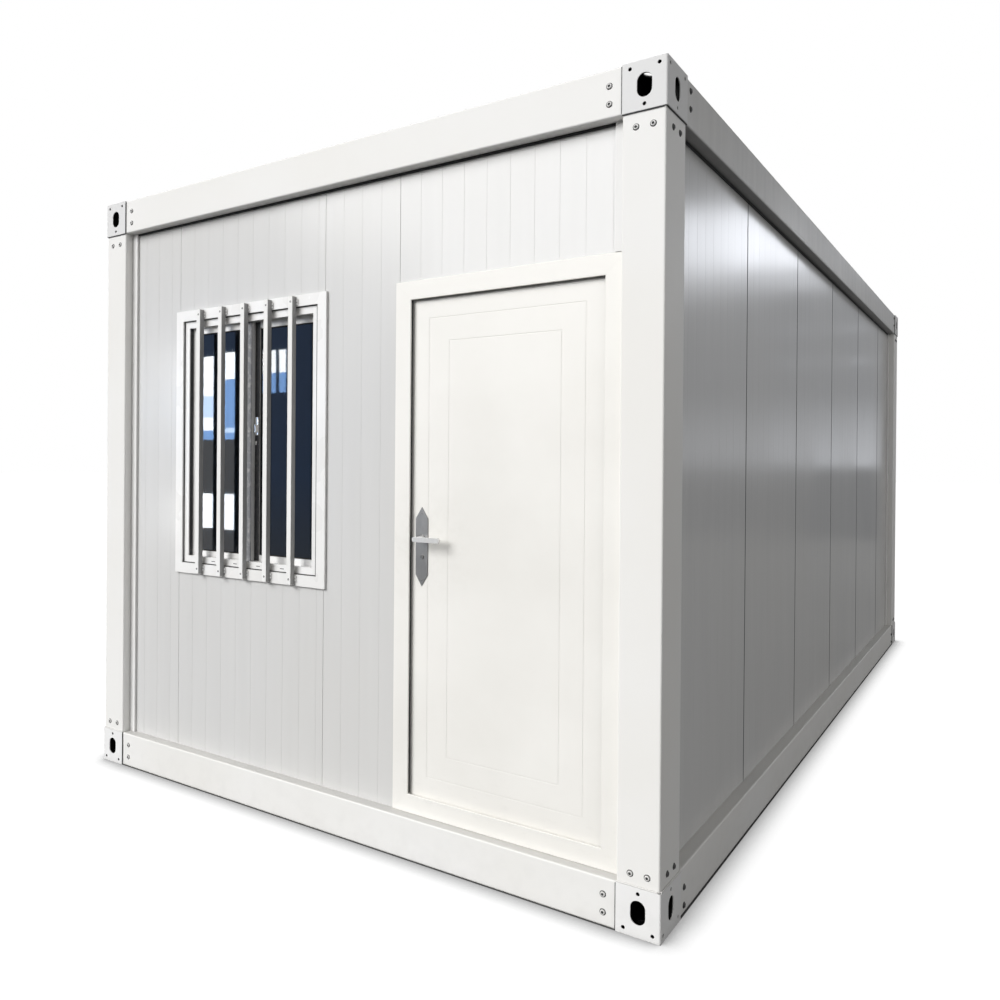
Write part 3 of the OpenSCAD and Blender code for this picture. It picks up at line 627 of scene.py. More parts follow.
def sealant():
    bead = Finish("grey_sealant", {"Specular IOR Level": 0.4})
    patches = bead.noise(0.03, 4)
    bead.colour(patches, grey(0.42, 0.0), grey(0.62, 0.01))
    bead.roughness(patches, 0.4, 0.6)
    bead.relief(bead.noise(0.006, 3), 0.3 * MM)
    return bead.material


def plank_floor():
    board = Finish("sealed_plank_floor", {"Specular IOR Level": 0.4})
    turned = board.node("ShaderNodeMapping", {"Vector": board.place, "Rotation": (0, 0, math.pi / 2)})
    pattern = {
        "Vector": turned.outputs["Vector"], "Scale": 1.0, "Mortar Size": 0.0012, "Brick Width": 1.2,
        "Row Height": 0.16, "Color1": (0.34, 0.24, 0.16, 1), "Color2": (0.42, 0.31, 0.21, 1),
        "Mortar": (0.10, 0.07, 0.05, 1),
    }
    planks = board.node("ShaderNodeTexBrick", pattern).outputs
    grain = board.noise(0.006, 5, (1, 30, 1))
    board.colour(board.span(grain, 0.35, 0.7, 0.0, 0.35), planks["Color"], (0.22, 0.14, 0.09, 1))
    board.roughness(grain, 0.35, 0.5)
    board.relief(planks["Fac"], -0.4 * MM)
    board.relief(grain, 0.05 * MM)
    return board.material


# The black and grey rubbers also serve as painted shade in slots, sockets, gaps and seams.
finishes["seal_rubber"] = rubber("black_rubber_and_painted_shade", 0.022)
finishes["joint_rubber"] = rubber("grey_joint_rubber_and_painted_shade", 0.06)
finishes["brush_pile"] = rubber("brush_pile_and_painted_shade", 0.045)
finishes["stile_strip"] = rubber("grey_stile_painted_shade", 0.19)
finishes["sealant"] = sealant()
finishes["floor"] = plank_floor()
print("rubber, sealant and floor made")

# %% Finishes on the CAD nodes
for subpart in frame["record"]["subparts"]:
    name, finish = subpart["node"], subpart["material_slot"]
    if "_fitting_" in name:
        finish = name.split("_fitting_")[0] + "_fitting"
    if name.endswith("_lever"):
        finish = "lever_steel"
    node = frame["nodes"][name]
    node.data.materials.clear()
    node.data.materials.append(finishes[finish])

# %% [markdown]
# ## Small fasteners, grown on points
#
# The frame is bolted at every corner, and smaller screws hold the bars, the lock and the roof sheet.
# Each could be modelled and copied by hand. Geometry Nodes does it from a list of points: one short
# tapered head is made, turned to face outwards and placed on every point, and the copies are realized so
# that the result is a plain mesh.


# %% The fastener tree
def new_tree(name, inputs, output):
    """A Geometry Nodes tree with inputs given as (name, kind) and one output, and what its input gives."""
    tree = bpy.data.node_groups.new(name, "GeometryNodeTree")
    for label, kind in inputs:
        tree.interface.new_socket(label, in_out="INPUT", socket_type="NodeSocket" + kind)
    tree.interface.new_socket(output, in_out="OUTPUT", socket_type="NodeSocketGeometry")
    return tree, tree.nodes.new("NodeGroupInput").outputs


def end_tree(tree, geometry, finish):
    """Makes the tree's copies real, gives them their finish and hands them out."""
    real = add_node(tree, "GeometryNodeRealizeInstances", {"Geometry": geometry}).outputs[0]
    painted = add_node(tree, "GeometryNodeSetMaterial", {"Geometry": real, "Material": finish})
    add_node(tree, "NodeGroupOutput", {0: painted.outputs[0]})


def fastener_tree():
    inputs = [("Points", "Geometry")]
    inputs += [(name, "Float") for name in ("Radius", "Top radius", "Height", "Lift")]
    inputs += [("Sides", "Int"), ("Facing", "Vector"), ("Finish", "Material")]
    tree, given = new_tree("fastener_on_points", inputs, "Fasteners")
    cone = {"Vertices": given["Sides"], "Radius Top": given["Top radius"]}
    cone |= {"Radius Bottom": given["Radius"], "Depth": given["Height"]}
    shape = add_node(tree, "GeometryNodeMeshCone", cone).outputs["Mesh"]
    lift = add_node(tree, "ShaderNodeCombineXYZ", {"Z": given["Lift"]}).outputs[0]
    lifted = add_node(tree, "GeometryNodeTransform", {"Geometry": shape, "Translation": lift}).outputs[0]
    turned = add_node(tree, "FunctionNodeAlignRotationToVector", {"Vector": given["Facing"]}, axis="Z")
    copies = {"Points": given["Points"], "Instance": lifted, "Rotation": turned.outputs["Rotation"]}
    spread = add_node(tree, "GeometryNodeInstanceOnPoints", copies)
    end_tree(tree, spread.outputs["Instances"], given["Finish"])
    return tree


fasteners = fastener_tree()
print("tree", fasteners.name)


# %% Growing a tree and keeping the result
def seed_mesh(points, edges=()):
    mesh = bpy.data.meshes.new("seed")
    mesh.from_pydata([tuple(p) for p in points], list(edges), [])
    return mesh


def grow(tree, seed, values, finish):
    """The plain mesh that a Geometry Nodes tree makes from a seed mesh."""
    holder = bpy.data.objects.new("holder", seed)
    scene.collection.objects.link(holder)
    modifier = holder.modifiers.new("grow", "NODES")
    modifier.node_group = tree
    given = values | {"Finish": finishes[finish]}
    for item in tree.interface.items_tree:
        if item.in_out == "INPUT" and item.name in given:
            modifier[item.identifier] = given[item.name]
    grown = holder.evaluated_get(bpy.context.evaluated_depsgraph_get())
    mesh = bpy.data.meshes.new_from_object(grown)
    bpy.data.objects.remove(holder)
    return mesh


print("growing helper ready")


# %% Making a named piece
def piece(name, meshes, finish, body="house", smooth=False):
    """Joins meshes into one named piece of the house that rides on a body."""
    whole = bmesh.new()
    for mesh in meshes:
        whole.from_mesh(mesh)
    for face in whole.faces:
        face.material_index = 0
        face.smooth = smooth
    mesh = bpy.data.meshes.new(name)
    whole.to_mesh(mesh)
    whole.free()
    mesh.materials.append(finishes[finish])
    made = bpy.data.objects.new(name, mesh)
    scene.collection.objects.link(made)
    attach(made, body)
    print(name, len(mesh.polygons), "faces")


def head(radius, height, sides, lift=0.0, taper=0.8):
    """The sizes of a fastener's head, or of its washer or socket, lifted off the face."""
    return {"Radius": radius, "Top radius": radius * taper, "Height": height, "Lift": lift, "Sides": sides}


def fastener_piece(name, walls, shape, finish, body="house"):
    """A piece of fasteners of one shape, on walls given as (facing, points)."""
    meshes = []
    for facing, points in walls:
        meshes.append(grow(fasteners, seed_mesh(points), shape | {"Facing": facing}, finish))
    piece(name, meshes, finish, body)


print("piece helpers ready")

# %% [markdown]
# ## Frame bolts
#
# Two bolts hold each beam end and each post end, on the end walls and on the side walls. Their places
# could be listed one by one, but they are worked out for one wall of each kind and used on both. The
# corner fittings stand a few millimetres proud of the posts and beams, and the low bolt heads with their
# black washers fill just that step. The washers are black rubber, and their black also paints the shade
# round each head; a black disc on each head is a painted shade for its socket. The heads on the end walls
# are painted over with the frame, and those on the side walls are dark, a painted shade.

# %% Where the bolts are
house_hi = cad_box[1]
fitting_lo, fitting_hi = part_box("base_fitting_front_left")
post_w, post_d, frame_h = fitting_hi - fitting_lo
face_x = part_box("base_beam_left")[0].x
face_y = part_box("base_beam_front")[0].y
roof_z = house_hi.z - frame_h

BEAM_BOLT = 47 * MM
END_BEAM_DROPS = [57 * MM, 118 * MM]
SIDE_ROOF_DROPS = [35 * MM, 98 * MM]
SIDE_BASE_DROPS = [73 * MM, 136 * MM]
END_POST_BOLTS = [48 * MM, 107 * MM]
SIDE_POST_BOLTS = [73 * MM, 140 * MM]
POST_BOLT_DROP, POST_BOLT_RISE = 50 * MM, 40 * MM


def wall_spots(half, post, roof_drops, base_drops, post_bolts):
    """Bolts of one wall as (distance along the wall from its middle, height)."""
    spots = []
    for side in (-1, 1):
        beam = side * (half - post - BEAM_BOLT)
        spots += [(beam, house_hi.z - drop) for drop in roof_drops]
        spots += [(beam, frame_h - drop) for drop in base_drops]
        for along in post_bolts:
            spots.append((side * (half - along), roof_z - POST_BOLT_DROP))
            spots.append((side * (half - along), frame_h + POST_BOLT_RISE))
    return spots


end_spots = wall_spots(house_hi.x, post_w, END_BEAM_DROPS, END_BEAM_DROPS, END_POST_BOLTS)
side_spots = wall_spots(house_hi.y, post_d, SIDE_ROOF_DROPS, SIDE_BASE_DROPS, SIDE_POST_BOLTS)
end_walls, side_walls = [], []
for side in (-1, 1):
    end_walls.append(((0, side, 0), [(x, side * abs(face_y), z) for x, z in end_spots]))
    side_walls.append(((side, 0, 0), [(side * abs(face_x), y, z) for y, z in side_spots]))
bolt_walls = end_walls + side_walls
print("bolts", 2 * (len(end_spots) + len(side_spots)))

# %% Grow the bolts
WASHER_R, HEAD_R, SOCKET_R = 11.5 * MM, 9 * MM, 5.5 * MM
WASHER_T, SOCKET_T = 1.2 * MM, 0.3 * MM
head_h = abs(fitting_lo.y - face_y) - WASHER_T - SOCKET_T
washers = head(WASHER_R, WASHER_T, 24, taper=0.95)
heads = head(HEAD_R, head_h, 16, WASHER_T, 0.82)
sockets = head(SOCKET_R, SOCKET_T, 6, WASHER_T + head_h, 0.95)
# The black washers are rubber, and their black also paints the shade round each head.
fastener_piece("frame_bolt_washers", bolt_walls, washers, "seal_rubber")
fastener_piece("end_bolt_heads", end_walls, heads, "frame_paint")
# Painted shade: the heads on the side walls are dark.
fastener_piece("side_bolt_heads", side_walls, heads, "bolt_steel")
# Painted shade: a black disc on each head stands for the socket's recess.
fastener_piece("frame_bolt_sockets", bolt_walls, sockets, "seal_rubber")

# %% Screws along the edges of the roof sheet
SCREW_PITCH, SHEET_T, SHELF_LINE = 0.25, 3 * MM, 92 * MM
ROOF_WASHER_R, ROOF_WASHER_T, ROOF_HEAD_R, ROOF_HEAD_H = 9 * MM, 1.5 * MM, 5.5 * MM, 5 * MM
deck_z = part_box("roof_sheet")[0].z + SHEET_T
line_x, line_y = house_hi.x - SHELF_LINE, house_hi.y - SHELF_LINE


def row(reach, pitch):
    """Evenly spaced places from -reach to reach, about pitch apart."""
    count = round(2 * reach / pitch)
    return [-reach + 2 * reach * i / count for i in range(count + 1)]


long_row = row(house_hi.y - post_d - BEAM_BOLT, SCREW_PITCH)
short_row = row(house_hi.x - post_w - BEAM_BOLT, SCREW_PITCH)
roof_points = [(side * line_x, y, deck_z) for side in (-1, 1) for y in long_row]
roof_points += [(x, side * line_y, deck_z) for side in (-1, 1) for x in short_row]
roof_walls = [((0, 0, 1), roof_points)]
roof_washers = head(ROOF_WASHER_R, ROOF_WASHER_T, 12, taper=0.9)
roof_heads = head(ROOF_HEAD_R, ROOF_HEAD_H, 6, ROOF_WASHER_T, 0.95)
fastener_piece("roof_screw_washers", roof_walls, roof_washers, "seal_rubber")
fastener_piece("roof_screw_heads", roof_walls, roof_heads, "galvanised")

# %% [markdown]
# ## Strips and beads along a path
#
# Black foam tape closes the joint between the walls and the roof frame, rubber holds the glass, and a
# thin line of sealant runs round the window and the door. All follow straight paths with one small
# section. Long boxes would do from afar, but look too straight close by, so a tree sweeps a rounded
# section along any edges it is given and lets the path wander a little, as a hand-laid bead does.


# %% The strip tree
def strip_tree():
    inputs = [("Path", "Geometry")]
    inputs += [(name, "Float") for name in ("Width", "Height", "Corner", "Wander", "Wander length")]
    inputs += [("Steps", "Int"), ("Finish", "Material")]
    tree, given = new_tree("strip_along_edges", inputs, "Strip")

    def made(kind, inputs=None, **settings):
        return add_node(tree, kind, inputs, **settings).outputs[0]

    curve = made("GeometryNodeMeshToCurve", {"Mesh": given["Path"]})
    fine = made("GeometryNodeSubdivideCurve", {"Curve": curve, "Cuts": given["Steps"]})
    upright = made("GeometryNodeSetCurveNormal", {"Curve": fine}, mode="Z_UP")
    spot = made("GeometryNodeInputPosition")
    near = made("ShaderNodeVectorMath", {0: spot, "Scale": given["Wander length"]}, operation="SCALE")
    noise = add_node(tree, "ShaderNodeTexNoise", {"Vector": near, "Scale": 1.0}).outputs["Color"]
    centred = made("ShaderNodeVectorMath", {0: noise, 1: (0.5, 0.5, 0.5)}, operation="SUBTRACT")
    sway = made("ShaderNodeVectorMath", {0: centred, "Scale": given["Wander"]}, operation="SCALE")
    moved = made("GeometryNodeSetPosition", {"Geometry": upright, "Offset": sway})
    sides = {"Width": given["Width"], "Height": given["Height"]}
    section = made("GeometryNodeCurvePrimitiveQuadrilateral", sides)
    corners = {"Curve": section, "Radius": given["Corner"], "Count": 3}
    rounded = made("GeometryNodeFilletCurve", corners, mode="POLY")
    sweep = {"Curve": moved, "Profile Curve": rounded, "Fill Caps": True}
    end_tree(tree, made("GeometryNodeCurveToMesh", sweep), given["Finish"])
    return tree


strips = strip_tree()
print("tree", strips.name)

# %% Growing a strip
ROUNDED, WANDER_SCALE = 0.45, 9.0


def strip(lines, width, height, finish, wander=0.0, steps=30):
    """Strips of one section along lines given as pairs of points."""
    points = [point for line in lines for point in line]
    edges = [(i, i + 1) for i in range(0, len(points), 2)]
    values = {
        "Width": width, "Height": height, "Corner": ROUNDED * min(width, height), "Wander": wander,
        "Wander length": WANDER_SCALE, "Steps": steps,
    }
    return grow(strips, seed_mesh(points, edges), values, finish)


def strip_piece(name, lines, width, height, finish, wander=0.0, steps=30):
    """A smooth piece of strips of one section."""
    piece(name, [strip(lines, width, height, finish, wander, steps)], finish, smooth=True)


print("strip helpers ready")

# %% Seams round the corner fittings
SEAM, WELD, WELD_WANDER = 4 * MM, 4.6 * MM, 0.5 * MM
POST_EDGE = 12 * MM
seam_x = house_hi.x - post_w
seam_y = house_hi.y - post_d


def outer_faces(side_x, side_y, bead):
    """Where a bead lies on the end face, as y, and on the side face, as x, of one corner."""
    return side_y * (abs(face_y) + bead / 2), side_x * (abs(face_x) + bead / 2)


def corner_seams(side_x, side_y, bead, z):
    """Level lines on both outer faces of one corner post, just off the sheet, at height z."""
    end_face, side_face = outer_faces(side_x, side_y, bead)
    return [
        ((side_x * seam_x, end_face, z), (side_x * (house_hi.x - POST_EDGE), end_face, z)),
        ((side_face, side_y * seam_y, z), (side_face, side_y * (house_hi.y - POST_EDGE), z)),
    ]


def beam_seams(side_x, side_y, z0, z1):
    """Upright lines where two beams meet the fitting of one corner, between two heights."""
    end_face, side_face = outer_faces(side_x, side_y, SEAM)
    along_end, along_side = side_x * (seam_x - SEAM / 2), side_y * (seam_y - SEAM / 2)
    return [
        ((along_end, end_face, z0), (along_end, end_face, z1)),
        ((side_face, along_side, z0), (side_face, along_side, z1)),
    ]


seam_lines, weld_lines = [], []
for side_x in (-1, 1):
    for side_y in (-1, 1):
        seam_lines += corner_seams(side_x, side_y, SEAM, roof_z - SEAM / 2)
        seam_lines += beam_seams(side_x, side_y, roof_z + SEAM, house_hi.z - SEAM)
        seam_lines += beam_seams(side_x, side_y, SEAM, frame_h - SEAM)
        weld_lines += corner_seams(side_x, side_y, WELD, frame_h + WELD / 2)
# Painted shade: dark strips in the seams round the corner fittings stand for the shadow in the gaps.
strip_piece("frame_seams", seam_lines, SEAM, SEAM, "joint_rubber", steps=6)
strip_piece("post_welds", weld_lines, WELD, WELD, "frame_paint", WELD_WANDER, 24)

# %% Joint strips on the long walls and the rear wall
PANEL_W, TRIM_T, TRIM_W = 1010 * MM, 1.5 * MM, 40 * MM
JOINT_W, JOINT_D = 7 * MM, 2 * MM
wall_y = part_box("front_panel_left")[0].y
wall_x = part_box("right_wall_panels")[1].x


def joint_places(run):
    """Distances of the panel joints from the start of a wall of that run, its last panel left whole."""
    count = math.ceil(run / PANEL_W - 0.1)
    return [i * PANEL_W for i in range(1, count)]


side_joints = [-seam_y + TRIM_T + d for d in joint_places(2 * (seam_y - TRIM_T))]
rear_joints = [seam_x - TRIM_T - d for d in joint_places(2 * (seam_x - TRIM_T))]
side_lines = [((s * wall_x, y, frame_h), (s * wall_x, y, roof_z)) for s in (-1, 1) for y in side_joints]
rear_lines = [((x, -wall_y, frame_h), (x, -wall_y, roof_z)) for x in rear_joints]
# The dark joint strips are partly rubber, partly painted shade for the folds at the panel joints.
joint_meshes = [
    strip(side_lines, JOINT_D, JOINT_W, "joint_rubber", steps=2),
    strip(rear_lines, JOINT_W, JOINT_D, "joint_rubber", steps=2),
]
piece("wall_joint_strips", joint_meshes, "joint_rubber")

# %% Foam tape at the wall heads
TAPE_H, TAPE_D, TAPE_WANDER = 10 * MM, 7 * MM, 1.0 * MM
tape_z = roof_z - TAPE_H / 2
tape_x = seam_x - TRIM_W
tape_y = seam_y - TRIM_W
tape_lines = []
for side in (-1, 1):
    end_y = side * (abs(wall_y) + TAPE_D / 2)
    long_x = side * (wall_x + TAPE_D / 2)
    tape_lines.append(((-tape_x, end_y, tape_z), (tape_x, end_y, tape_z)))
    tape_lines.append(((long_x, -tape_y, tape_z), (long_x, tape_y, tape_z)))
strip_piece("wall_head_tape", tape_lines, TAPE_D, TAPE_H, "seal_rubber", TAPE_WANDER, 60)


# %% Sealant round the window and the door
def upright_frame(lo, hi, y, sides="lrtb"):
    """Lines along the chosen sides of an upright rectangle at depth y."""
    x0, x1, z0, z1 = lo.x, hi.x, lo.z, hi.z
    lines = {
        "l": ((x0, y, z0), (x0, y, z1)), "r": ((x1, y, z0), (x1, y, z1)),
        "t": ((x0, y, z1), (x1, y, z1)), "b": ((x0, y, z0), (x1, y, z0)),
    }
    return [lines[side] for side in sides]


BEAD, BEAD_WANDER = 5 * MM, 1.0 * MM
casing_lo, casing_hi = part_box("window_casing")
jamb_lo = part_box("door_lock_jamb")[0]
head_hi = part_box("door_head")[1]
bead_lines = upright_frame(casing_lo, casing_hi, wall_y) + upright_frame(jamb_lo, head_hi, wall_y, "lt")
strip_piece("wall_sealant", bead_lines, BEAD, BEAD, "sealant", BEAD_WANDER)

# %% [markdown]
# ## Window fittings
#
# Black rubber closes the joint of casing and sliding frame, its black also a painted shade of the gap,
# and holds each pane in its sash, inside and outside. Grey brush pile lines the upright reveals and the
# rear sash's meeting stile, its near black partly painted shade, and a grey strip covers the front one,
# its grey a painted shade on that stile. A small pull sits on the pile, and a half-moon latch locks the
# sashes on the room side. The bars have a plug in each open end, a screw through the face near each end
# and a small tab onto the casing. Slots in the lower rail let the rain out, each drawn as a black slab, a
# painted shade for its opening. What runs along an edge is a strip again and the screws are grown on
# points, but a plug, a tab or a part of a latch is only a small bevelled slab, which mesh code makes in
# one line where a tree would need many.

# %% Rubber between casing and sliding frame
CASING_W, CASING_BEAD = 50 * MM, 4 * MM
inset = Vector((CASING_W + CASING_BEAD / 2, 0, CASING_W + CASING_BEAD / 2))
rubber_lo, rubber_hi = casing_lo + inset, casing_hi - inset
casing_lines = upright_frame(rubber_lo, rubber_hi, wall_y - CASING_BEAD / 2, "ltb")
casing_lines += upright_frame(rubber_lo, rubber_hi, casing_lo.y + CASING_BEAD / 2, "r")
# The black of this bead is partly gasket, partly painted shade of the gap between casing and frame.
strip_piece("casing_rubber", casing_lines, CASING_BEAD, CASING_BEAD, "seal_rubber", steps=8)

# %% Glass rubber
RUBBER = 5 * MM
glass_lo, glass_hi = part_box("window_glass")
glass_points = [v.co for v in frame["nodes"]["window_glass"].data.vertices]
depths = sorted({round(p.y, 4) for p in glass_points})
pane_lines = []
for front, back in (depths[:2], depths[2:]):
    xs = [p.x for p in glass_points if front - MM < p.y < back + MM]
    pane_lo = Vector((min(xs) + RUBBER / 2, 0, glass_lo.z + RUBBER / 2))
    pane_hi = Vector((max(xs) - RUBBER / 2, 0, glass_hi.z - RUBBER / 2))
    for y in (front - RUBBER / 2, back + RUBBER / 2):
        pane_lines += upright_frame(pane_lo, pane_hi, y)
strip_piece("glass_rubber", pane_lines, RUBBER, RUBBER, "seal_rubber", steps=8)


# %% Bevelled slabs and a half disc
def kept(made):
    mesh = bpy.data.meshes.new("shape")
    made.to_mesh(mesh)
    made.free()
    return mesh


def slab_at(middle, size, bevel):
    """A box of that size round a middle, with rounded edges, as a mesh."""
    made = bmesh.new()
    bmesh.ops.create_cube(made, size=1)
    for vert in made.verts:
        vert.co = vert.co * Vector(size) + Vector(middle)
    bmesh.ops.bevel(made, geom=made.edges[:], offset=bevel, segments=3, profile=0.5, affect="EDGES")
    return kept(made)


def slab(lo, hi, bevel):
    """The same box, given by its lowest and highest corners."""
    lo, hi = Vector(lo), Vector(hi)
    return slab_at((lo + hi) / 2, hi - lo, bevel)


def half_disc(centre, radius, depth, bevel, steps=16):
    """The right half of an upright disc, from centre inwards by depth."""
    made = bmesh.new()
    rim = [math.pi * (i / steps - 0.5) for i in range(steps + 1)]
    points = [Vector(centre) + radius * Vector((math.cos(a), 0, math.sin(a))) for a in rim]
    face = made.faces.new([made.verts.new(p) for p in points])
    grown = bmesh.ops.extrude_face_region(made, geom=[face])["geom"]
    moved = [part for part in grown if isinstance(part, bmesh.types.BMVert)]
    bmesh.ops.translate(made, vec=(0, depth, 0), verts=moved)
    bmesh.ops.recalc_face_normals(made, faces=made.faces)
    bmesh.ops.bevel(made, geom=made.edges[:], offset=bevel, segments=2, profile=0.5, affect="EDGES")
    return kept(made)


print("slab helpers ready")

# %% Half-moon latch on the room side
LATCH_BASE, LATCH_GRIP = Vector((28, 5, 80)) * MM, Vector((12, 8, 70)) * MM
LATCH_RISE, GRIP_OFF = 60 * MM, 2 * MM
MOON_R, MOON_T, MOON_OFF = 34 * MM, 7 * MM, 6 * MM
sash_hi_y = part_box("window_sashes")[1].y
base_y = sash_hi_y + LATCH_BASE.y
latch_x = (casing_lo.x + casing_hi.x) / 2
latch_z = (casing_lo.z + casing_hi.z) / 2 + LATCH_RISE
grip_spot = (latch_x + GRIP_OFF, base_y + LATCH_GRIP.y / 2, latch_z - LATCH_GRIP.z / 2)
latch = [
    slab_at((latch_x, sash_hi_y + LATCH_BASE.y / 2, latch_z), LATCH_BASE, 1.5 * MM),
    half_disc((latch_x + MOON_OFF, base_y, latch_z), MOON_R, MOON_T, 1 * MM),
    slab_at(grip_spot, LATCH_GRIP, 2 * MM),
]
piece("sash_latch", latch, "lock_steel")

# %% Brush pile and the strip on the meeting stile
REVEAL, LIP, PILE, SASH_W = 85 * MM, 20 * MM, 2 * MM, 42 * MM
PILE_EDGE, STRIP_INSET = 0.4 * MM, 4 * MM
reveal_z0, reveal_z1 = casing_lo.z + REVEAL, casing_hi.z - REVEAL
piles = []
for x in (casing_lo.x + REVEAL, casing_hi.x - REVEAL - PILE):
    piles.append(slab((x, wall_y + LIP / 4, reveal_z0), (x + PILE, wall_y + LIP, reveal_z1), PILE_EDGE))

sash_points = [v.co for v in frame["nodes"]["window_sashes"].data.vertices]
sash_depths = sorted({round(p.y, 4) for p in sash_points})
front_edge = max(p.x for p in sash_points if p.y < sash_depths[1] + MM)
back_edge = min(p.x for p in sash_points if p.y > sash_depths[2] - MM)
front_y, stile_y = sash_depths[0], sash_depths[2]
stile_x0, stile_x1 = front_edge + MM, back_edge + SASH_W - MM
piles.append(slab((stile_x0, stile_y - PILE, reveal_z0), (stile_x1, stile_y, reveal_z1), PILE_EDGE))
# The near black of the pile is partly its own colour, partly painted shade in the reveals and on the stile.
piece("window_brush_pile_and_shade", piles, "brush_pile")

# Painted shade: the grey strip on the front sash's meeting stile stands for the shade on it.
cover_lo = (front_edge - SASH_W + STRIP_INSET, front_y - PILE, reveal_z0)
cover = [slab(cover_lo, (front_edge - MM, front_y, reveal_z1), PILE_EDGE)]
piece("stile_cover_painted_shade", cover, "stile_strip")

# %% Pull on the rear sash's stile
PULL_SHARE, PULL_H, PULL_T = 0.445, 84 * MM, 5 * MM
KNOB, KNOB_DROP = Vector((8, 11, 38)) * MM, 11 * MM
CATCH_H, CATCH_T, CATCH_DROP = 18 * MM, 4 * MM, 77 * MM
pull_y = stile_y - PILE
pull_z = casing_hi.z - PULL_SHARE * (casing_hi.z - casing_lo.z)
pull_x0, pull_x1 = stile_x0 + 3 * MM, stile_x1 - 2 * MM
pull_x = (pull_x0 + pull_x1) / 2
catch_spot = ((pull_x0 + pull_x) / 2, pull_y - CATCH_T / 2, pull_z - CATCH_DROP)
pull = [
    slab_at((pull_x, pull_y - PULL_T / 2, pull_z), (pull_x1 - pull_x0, PULL_T, PULL_H), 2 * MM),
    slab_at((pull_x, pull_y - CATCH_T - KNOB.y / 2, pull_z - KNOB_DROP), KNOB, 2 * MM),
    slab_at(catch_spot, (pull_x - pull_x0, CATCH_T, CATCH_H), 1.2 * MM),
]
piece("stile_latch", pull, "lever_steel")

# %% Bar plugs and screws
BAR_COUNT, PLUG_T, PLUG_GAP, SCREW_INSET = 5, 3 * MM, 0.5 * MM, 22 * MM
bars_lo, bars_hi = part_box("window_bars")
bar_size = bars_hi.y - bars_lo.y
bar_step = (bars_hi.x - bars_lo.x - bar_size) / (BAR_COUNT - 1)
bar_xs = [bars_lo.x + bar_size / 2 + i * bar_step for i in range(BAR_COUNT)]
bar_y = (bars_lo.y + bars_hi.y) / 2
plug = (bar_size - 2 * PLUG_GAP, bar_size - 2 * PLUG_GAP, PLUG_T)
plug_zs = (bars_lo.z - PLUG_T / 2, bars_hi.z + PLUG_T / 2)
plugs = [slab_at((x, bar_y, z), plug, 1 * MM) for x in bar_xs for z in plug_zs]
piece("bar_plugs", plugs, "window_plastic")

front, back = (0, -1, 0), (0, 1, 0)
bar_screw_zs = (bars_lo.z + SCREW_INSET, bars_hi.z - SCREW_INSET)
bar_screws = [(x, bars_lo.y, z) for x in bar_xs for z in bar_screw_zs]
small_head = head(5 * MM, 2.2 * MM, 12, taper=0.6)
fastener_piece("bar_screws", [(front, bar_screws)], small_head, "lock_steel")

# %% Bar tabs and drain slots
TAB, TAB_INSET = Vector((13, 3, 24)) * MM, 32 * MM
DRAIN, DRAIN_Z = Vector((24, 1.2, 3)) * MM, 67 * MM
tabs, tab_screws = [], []
for x in bar_xs:
    tab_x = x + bar_size / 2 + TAB.x / 2
    for z in (casing_lo.z + TAB_INSET, casing_hi.z - TAB_INSET):
        tabs.append(slab_at((tab_x, bars_hi.y - TAB.y / 2, z), TAB, 0.8 * MM))
        tab_screws.append((tab_x, bars_hi.y - TAB.y, z))
drain_spots = [(x + bar_step / 2, wall_y, casing_lo.z + DRAIN_Z) for x in bar_xs[:-1]]
drains = [slab_at(spot, DRAIN, 0.3 * MM) for spot in drain_spots]
tab_head = head(3.5 * MM, 1.6 * MM, 10, taper=0.6)
piece("bar_tabs", tabs, "bar_paint")
fastener_piece("bar_tab_screws", [(front, tab_screws)], tab_head, "lock_steel")
# Painted shade: each drain slot is a black slab standing for its dark opening.
piece("window_drain_slots", drains, "seal_rubber")

# %% [markdown]
# ## Lock fittings
#
# Each lock plate has a screw in each pointed end, a collar round the lever's neck and a key slot in its
# cylinder, and a faceplate with two mouths for the bolts sits in the edge of the leaf. The hinge straps
# are screwed to the leaf. They could be left out, being small, but the door is the piece that a visitor
# touches, so they are worth the detail.

# %% Lock screws and key slots
KEY_DROP, KEY_PROUD, LOCK_SCREW_INSET = 72 * MM, 4 * MM, 24 * MM
KEY_SLOT = Vector((2.6, 0.5, 11)) * MM
plates_lo, plates_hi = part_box("lock_plates")
lever_lo, lever_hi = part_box("outside_lever")
lock_x = (plates_lo.x + plates_hi.x) / 2
lever_z = (lever_lo.z + lever_hi.z) / 2
plate_front = plates_lo.y + KEY_PROUD
plate_back = plates_hi.y - KEY_PROUD
screw_zs = [plates_lo.z + LOCK_SCREW_INSET, plates_hi.z - LOCK_SCREW_INSET]
lock_walls = []
for facing, y in ((front, plate_front), (back, plate_back)):
    lock_walls.append((facing, [(lock_x, y, z) for z in screw_zs]))
fastener_piece("lock_screws", lock_walls, small_head, "lock_steel", "door")

key_spots = [(lock_x, y, lever_z - KEY_DROP) for y in (plates_lo.y, plates_hi.y)]
# Painted shade: each key slot is a thin black slab standing for its dark opening.
slots = [slab_at(spot, KEY_SLOT, 0.2 * MM) for spot in key_spots]
piece("key_slots", slots, "seal_rubber", "door")


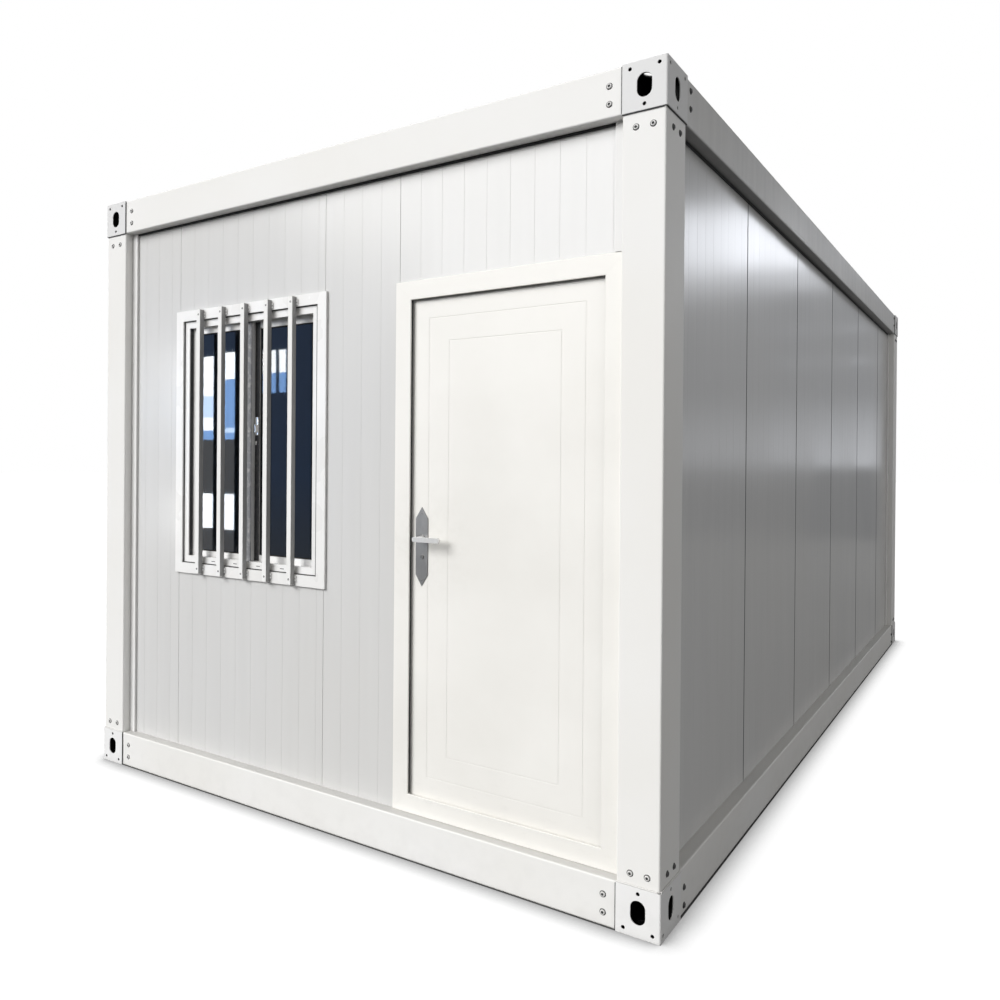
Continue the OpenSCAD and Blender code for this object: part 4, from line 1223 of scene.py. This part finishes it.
# %% Collars round the lever necks
def ring(centre, facing, inner, outer, height, steps=32):
    """A ring with a sloped outer side that stands on an upright face."""
    made = bmesh.new()
    section = [(inner, 0), (outer, 0), (outer, height * 0.4), (outer - height * 0.6, height), (inner, height)]
    rows = []
    for i in range(steps):
        a = 2 * math.pi * i / steps
        around = [Vector((r * math.cos(a), facing * h, r * math.sin(a))) for r, h in section]
        rows.append([made.verts.new(Vector(centre) + offset) for offset in around])
    for here, after in zip(rows, rows[1:] + rows[:1]):
        for j in range(len(section)):
            k = (j + 1) % len(section)
            made.faces.new((here[j], here[k], after[k], after[j]))
    bmesh.ops.recalc_face_normals(made, faces=made.faces)
    return kept(made)


NECK_R, COLLAR_GAP, COLLAR_W, COLLAR_H = 9 * MM, 0.6 * MM, 8 * MM, 5 * MM
collars = []
for y, facing in ((plate_front, -1), (plate_back, 1)):
    collars.append(ring((lock_x, y, lever_z), facing, NECK_R + COLLAR_GAP, NECK_R + COLLAR_W, COLLAR_H))
piece("lever_collars", collars, "lock_steel", "door")

# %% Lock faceplate in the edge of the leaf
FACEPLATE, MOUTH_T = Vector((1.6, 22, 235)) * MM, 0.4 * MM
LATCH_MOUTH, BOLT_MOUTH = 17 * MM, 24 * MM
leaf_lo, leaf_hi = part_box("door_leaf")
edge_y = (leaf_lo.y + leaf_hi.y) / 2
faceplate = [slab_at((leaf_lo.x, edge_y, lever_z - KEY_DROP / 2), FACEPLATE, 0.3 * MM)]
piece("lock_faceplate", faceplate, "lock_steel", "door")
# Painted shade: the two mouths are thin black slabs standing for the openings in the faceplate.
mouths = []
for z, height in ((lever_z, LATCH_MOUTH), (lever_z - KEY_DROP, BOLT_MOUTH)):
    spot = (leaf_lo.x - FACEPLATE.x / 2, edge_y, z)
    mouths.append(slab_at(spot, (MOUTH_T, FACEPLATE.y * 2 / 3, height), 0.1 * MM))
piece("lock_faceplate_mouths", mouths, "seal_rubber", "door")

# %% Hinge screws
HINGE_COUNT, HINGE_H, STRAP_T = 3, 104 * MM, 3 * MM
SCREW_COLUMNS, SCREW_ROWS = (14 * MM, 38 * MM), (-34 * MM, 0, 34 * MM)
straps_lo, straps_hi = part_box("door_hinge_leaf_halves")
hinge_step = (straps_hi.z - straps_lo.z - HINGE_H) / (HINGE_COUNT - 1)
strap_face = leaf_hi.y + STRAP_T
strap_points = []
for i in range(HINGE_COUNT):
    middle = straps_lo.z + HINGE_H / 2 + i * hinge_step
    for dx in SCREW_COLUMNS:
        strap_points += [(straps_lo.x + dx, strap_face, middle + dz) for dz in SCREW_ROWS]
fastener_piece("hinge_screws", [(back, strap_points)], small_head, "hinge_steel", "door")
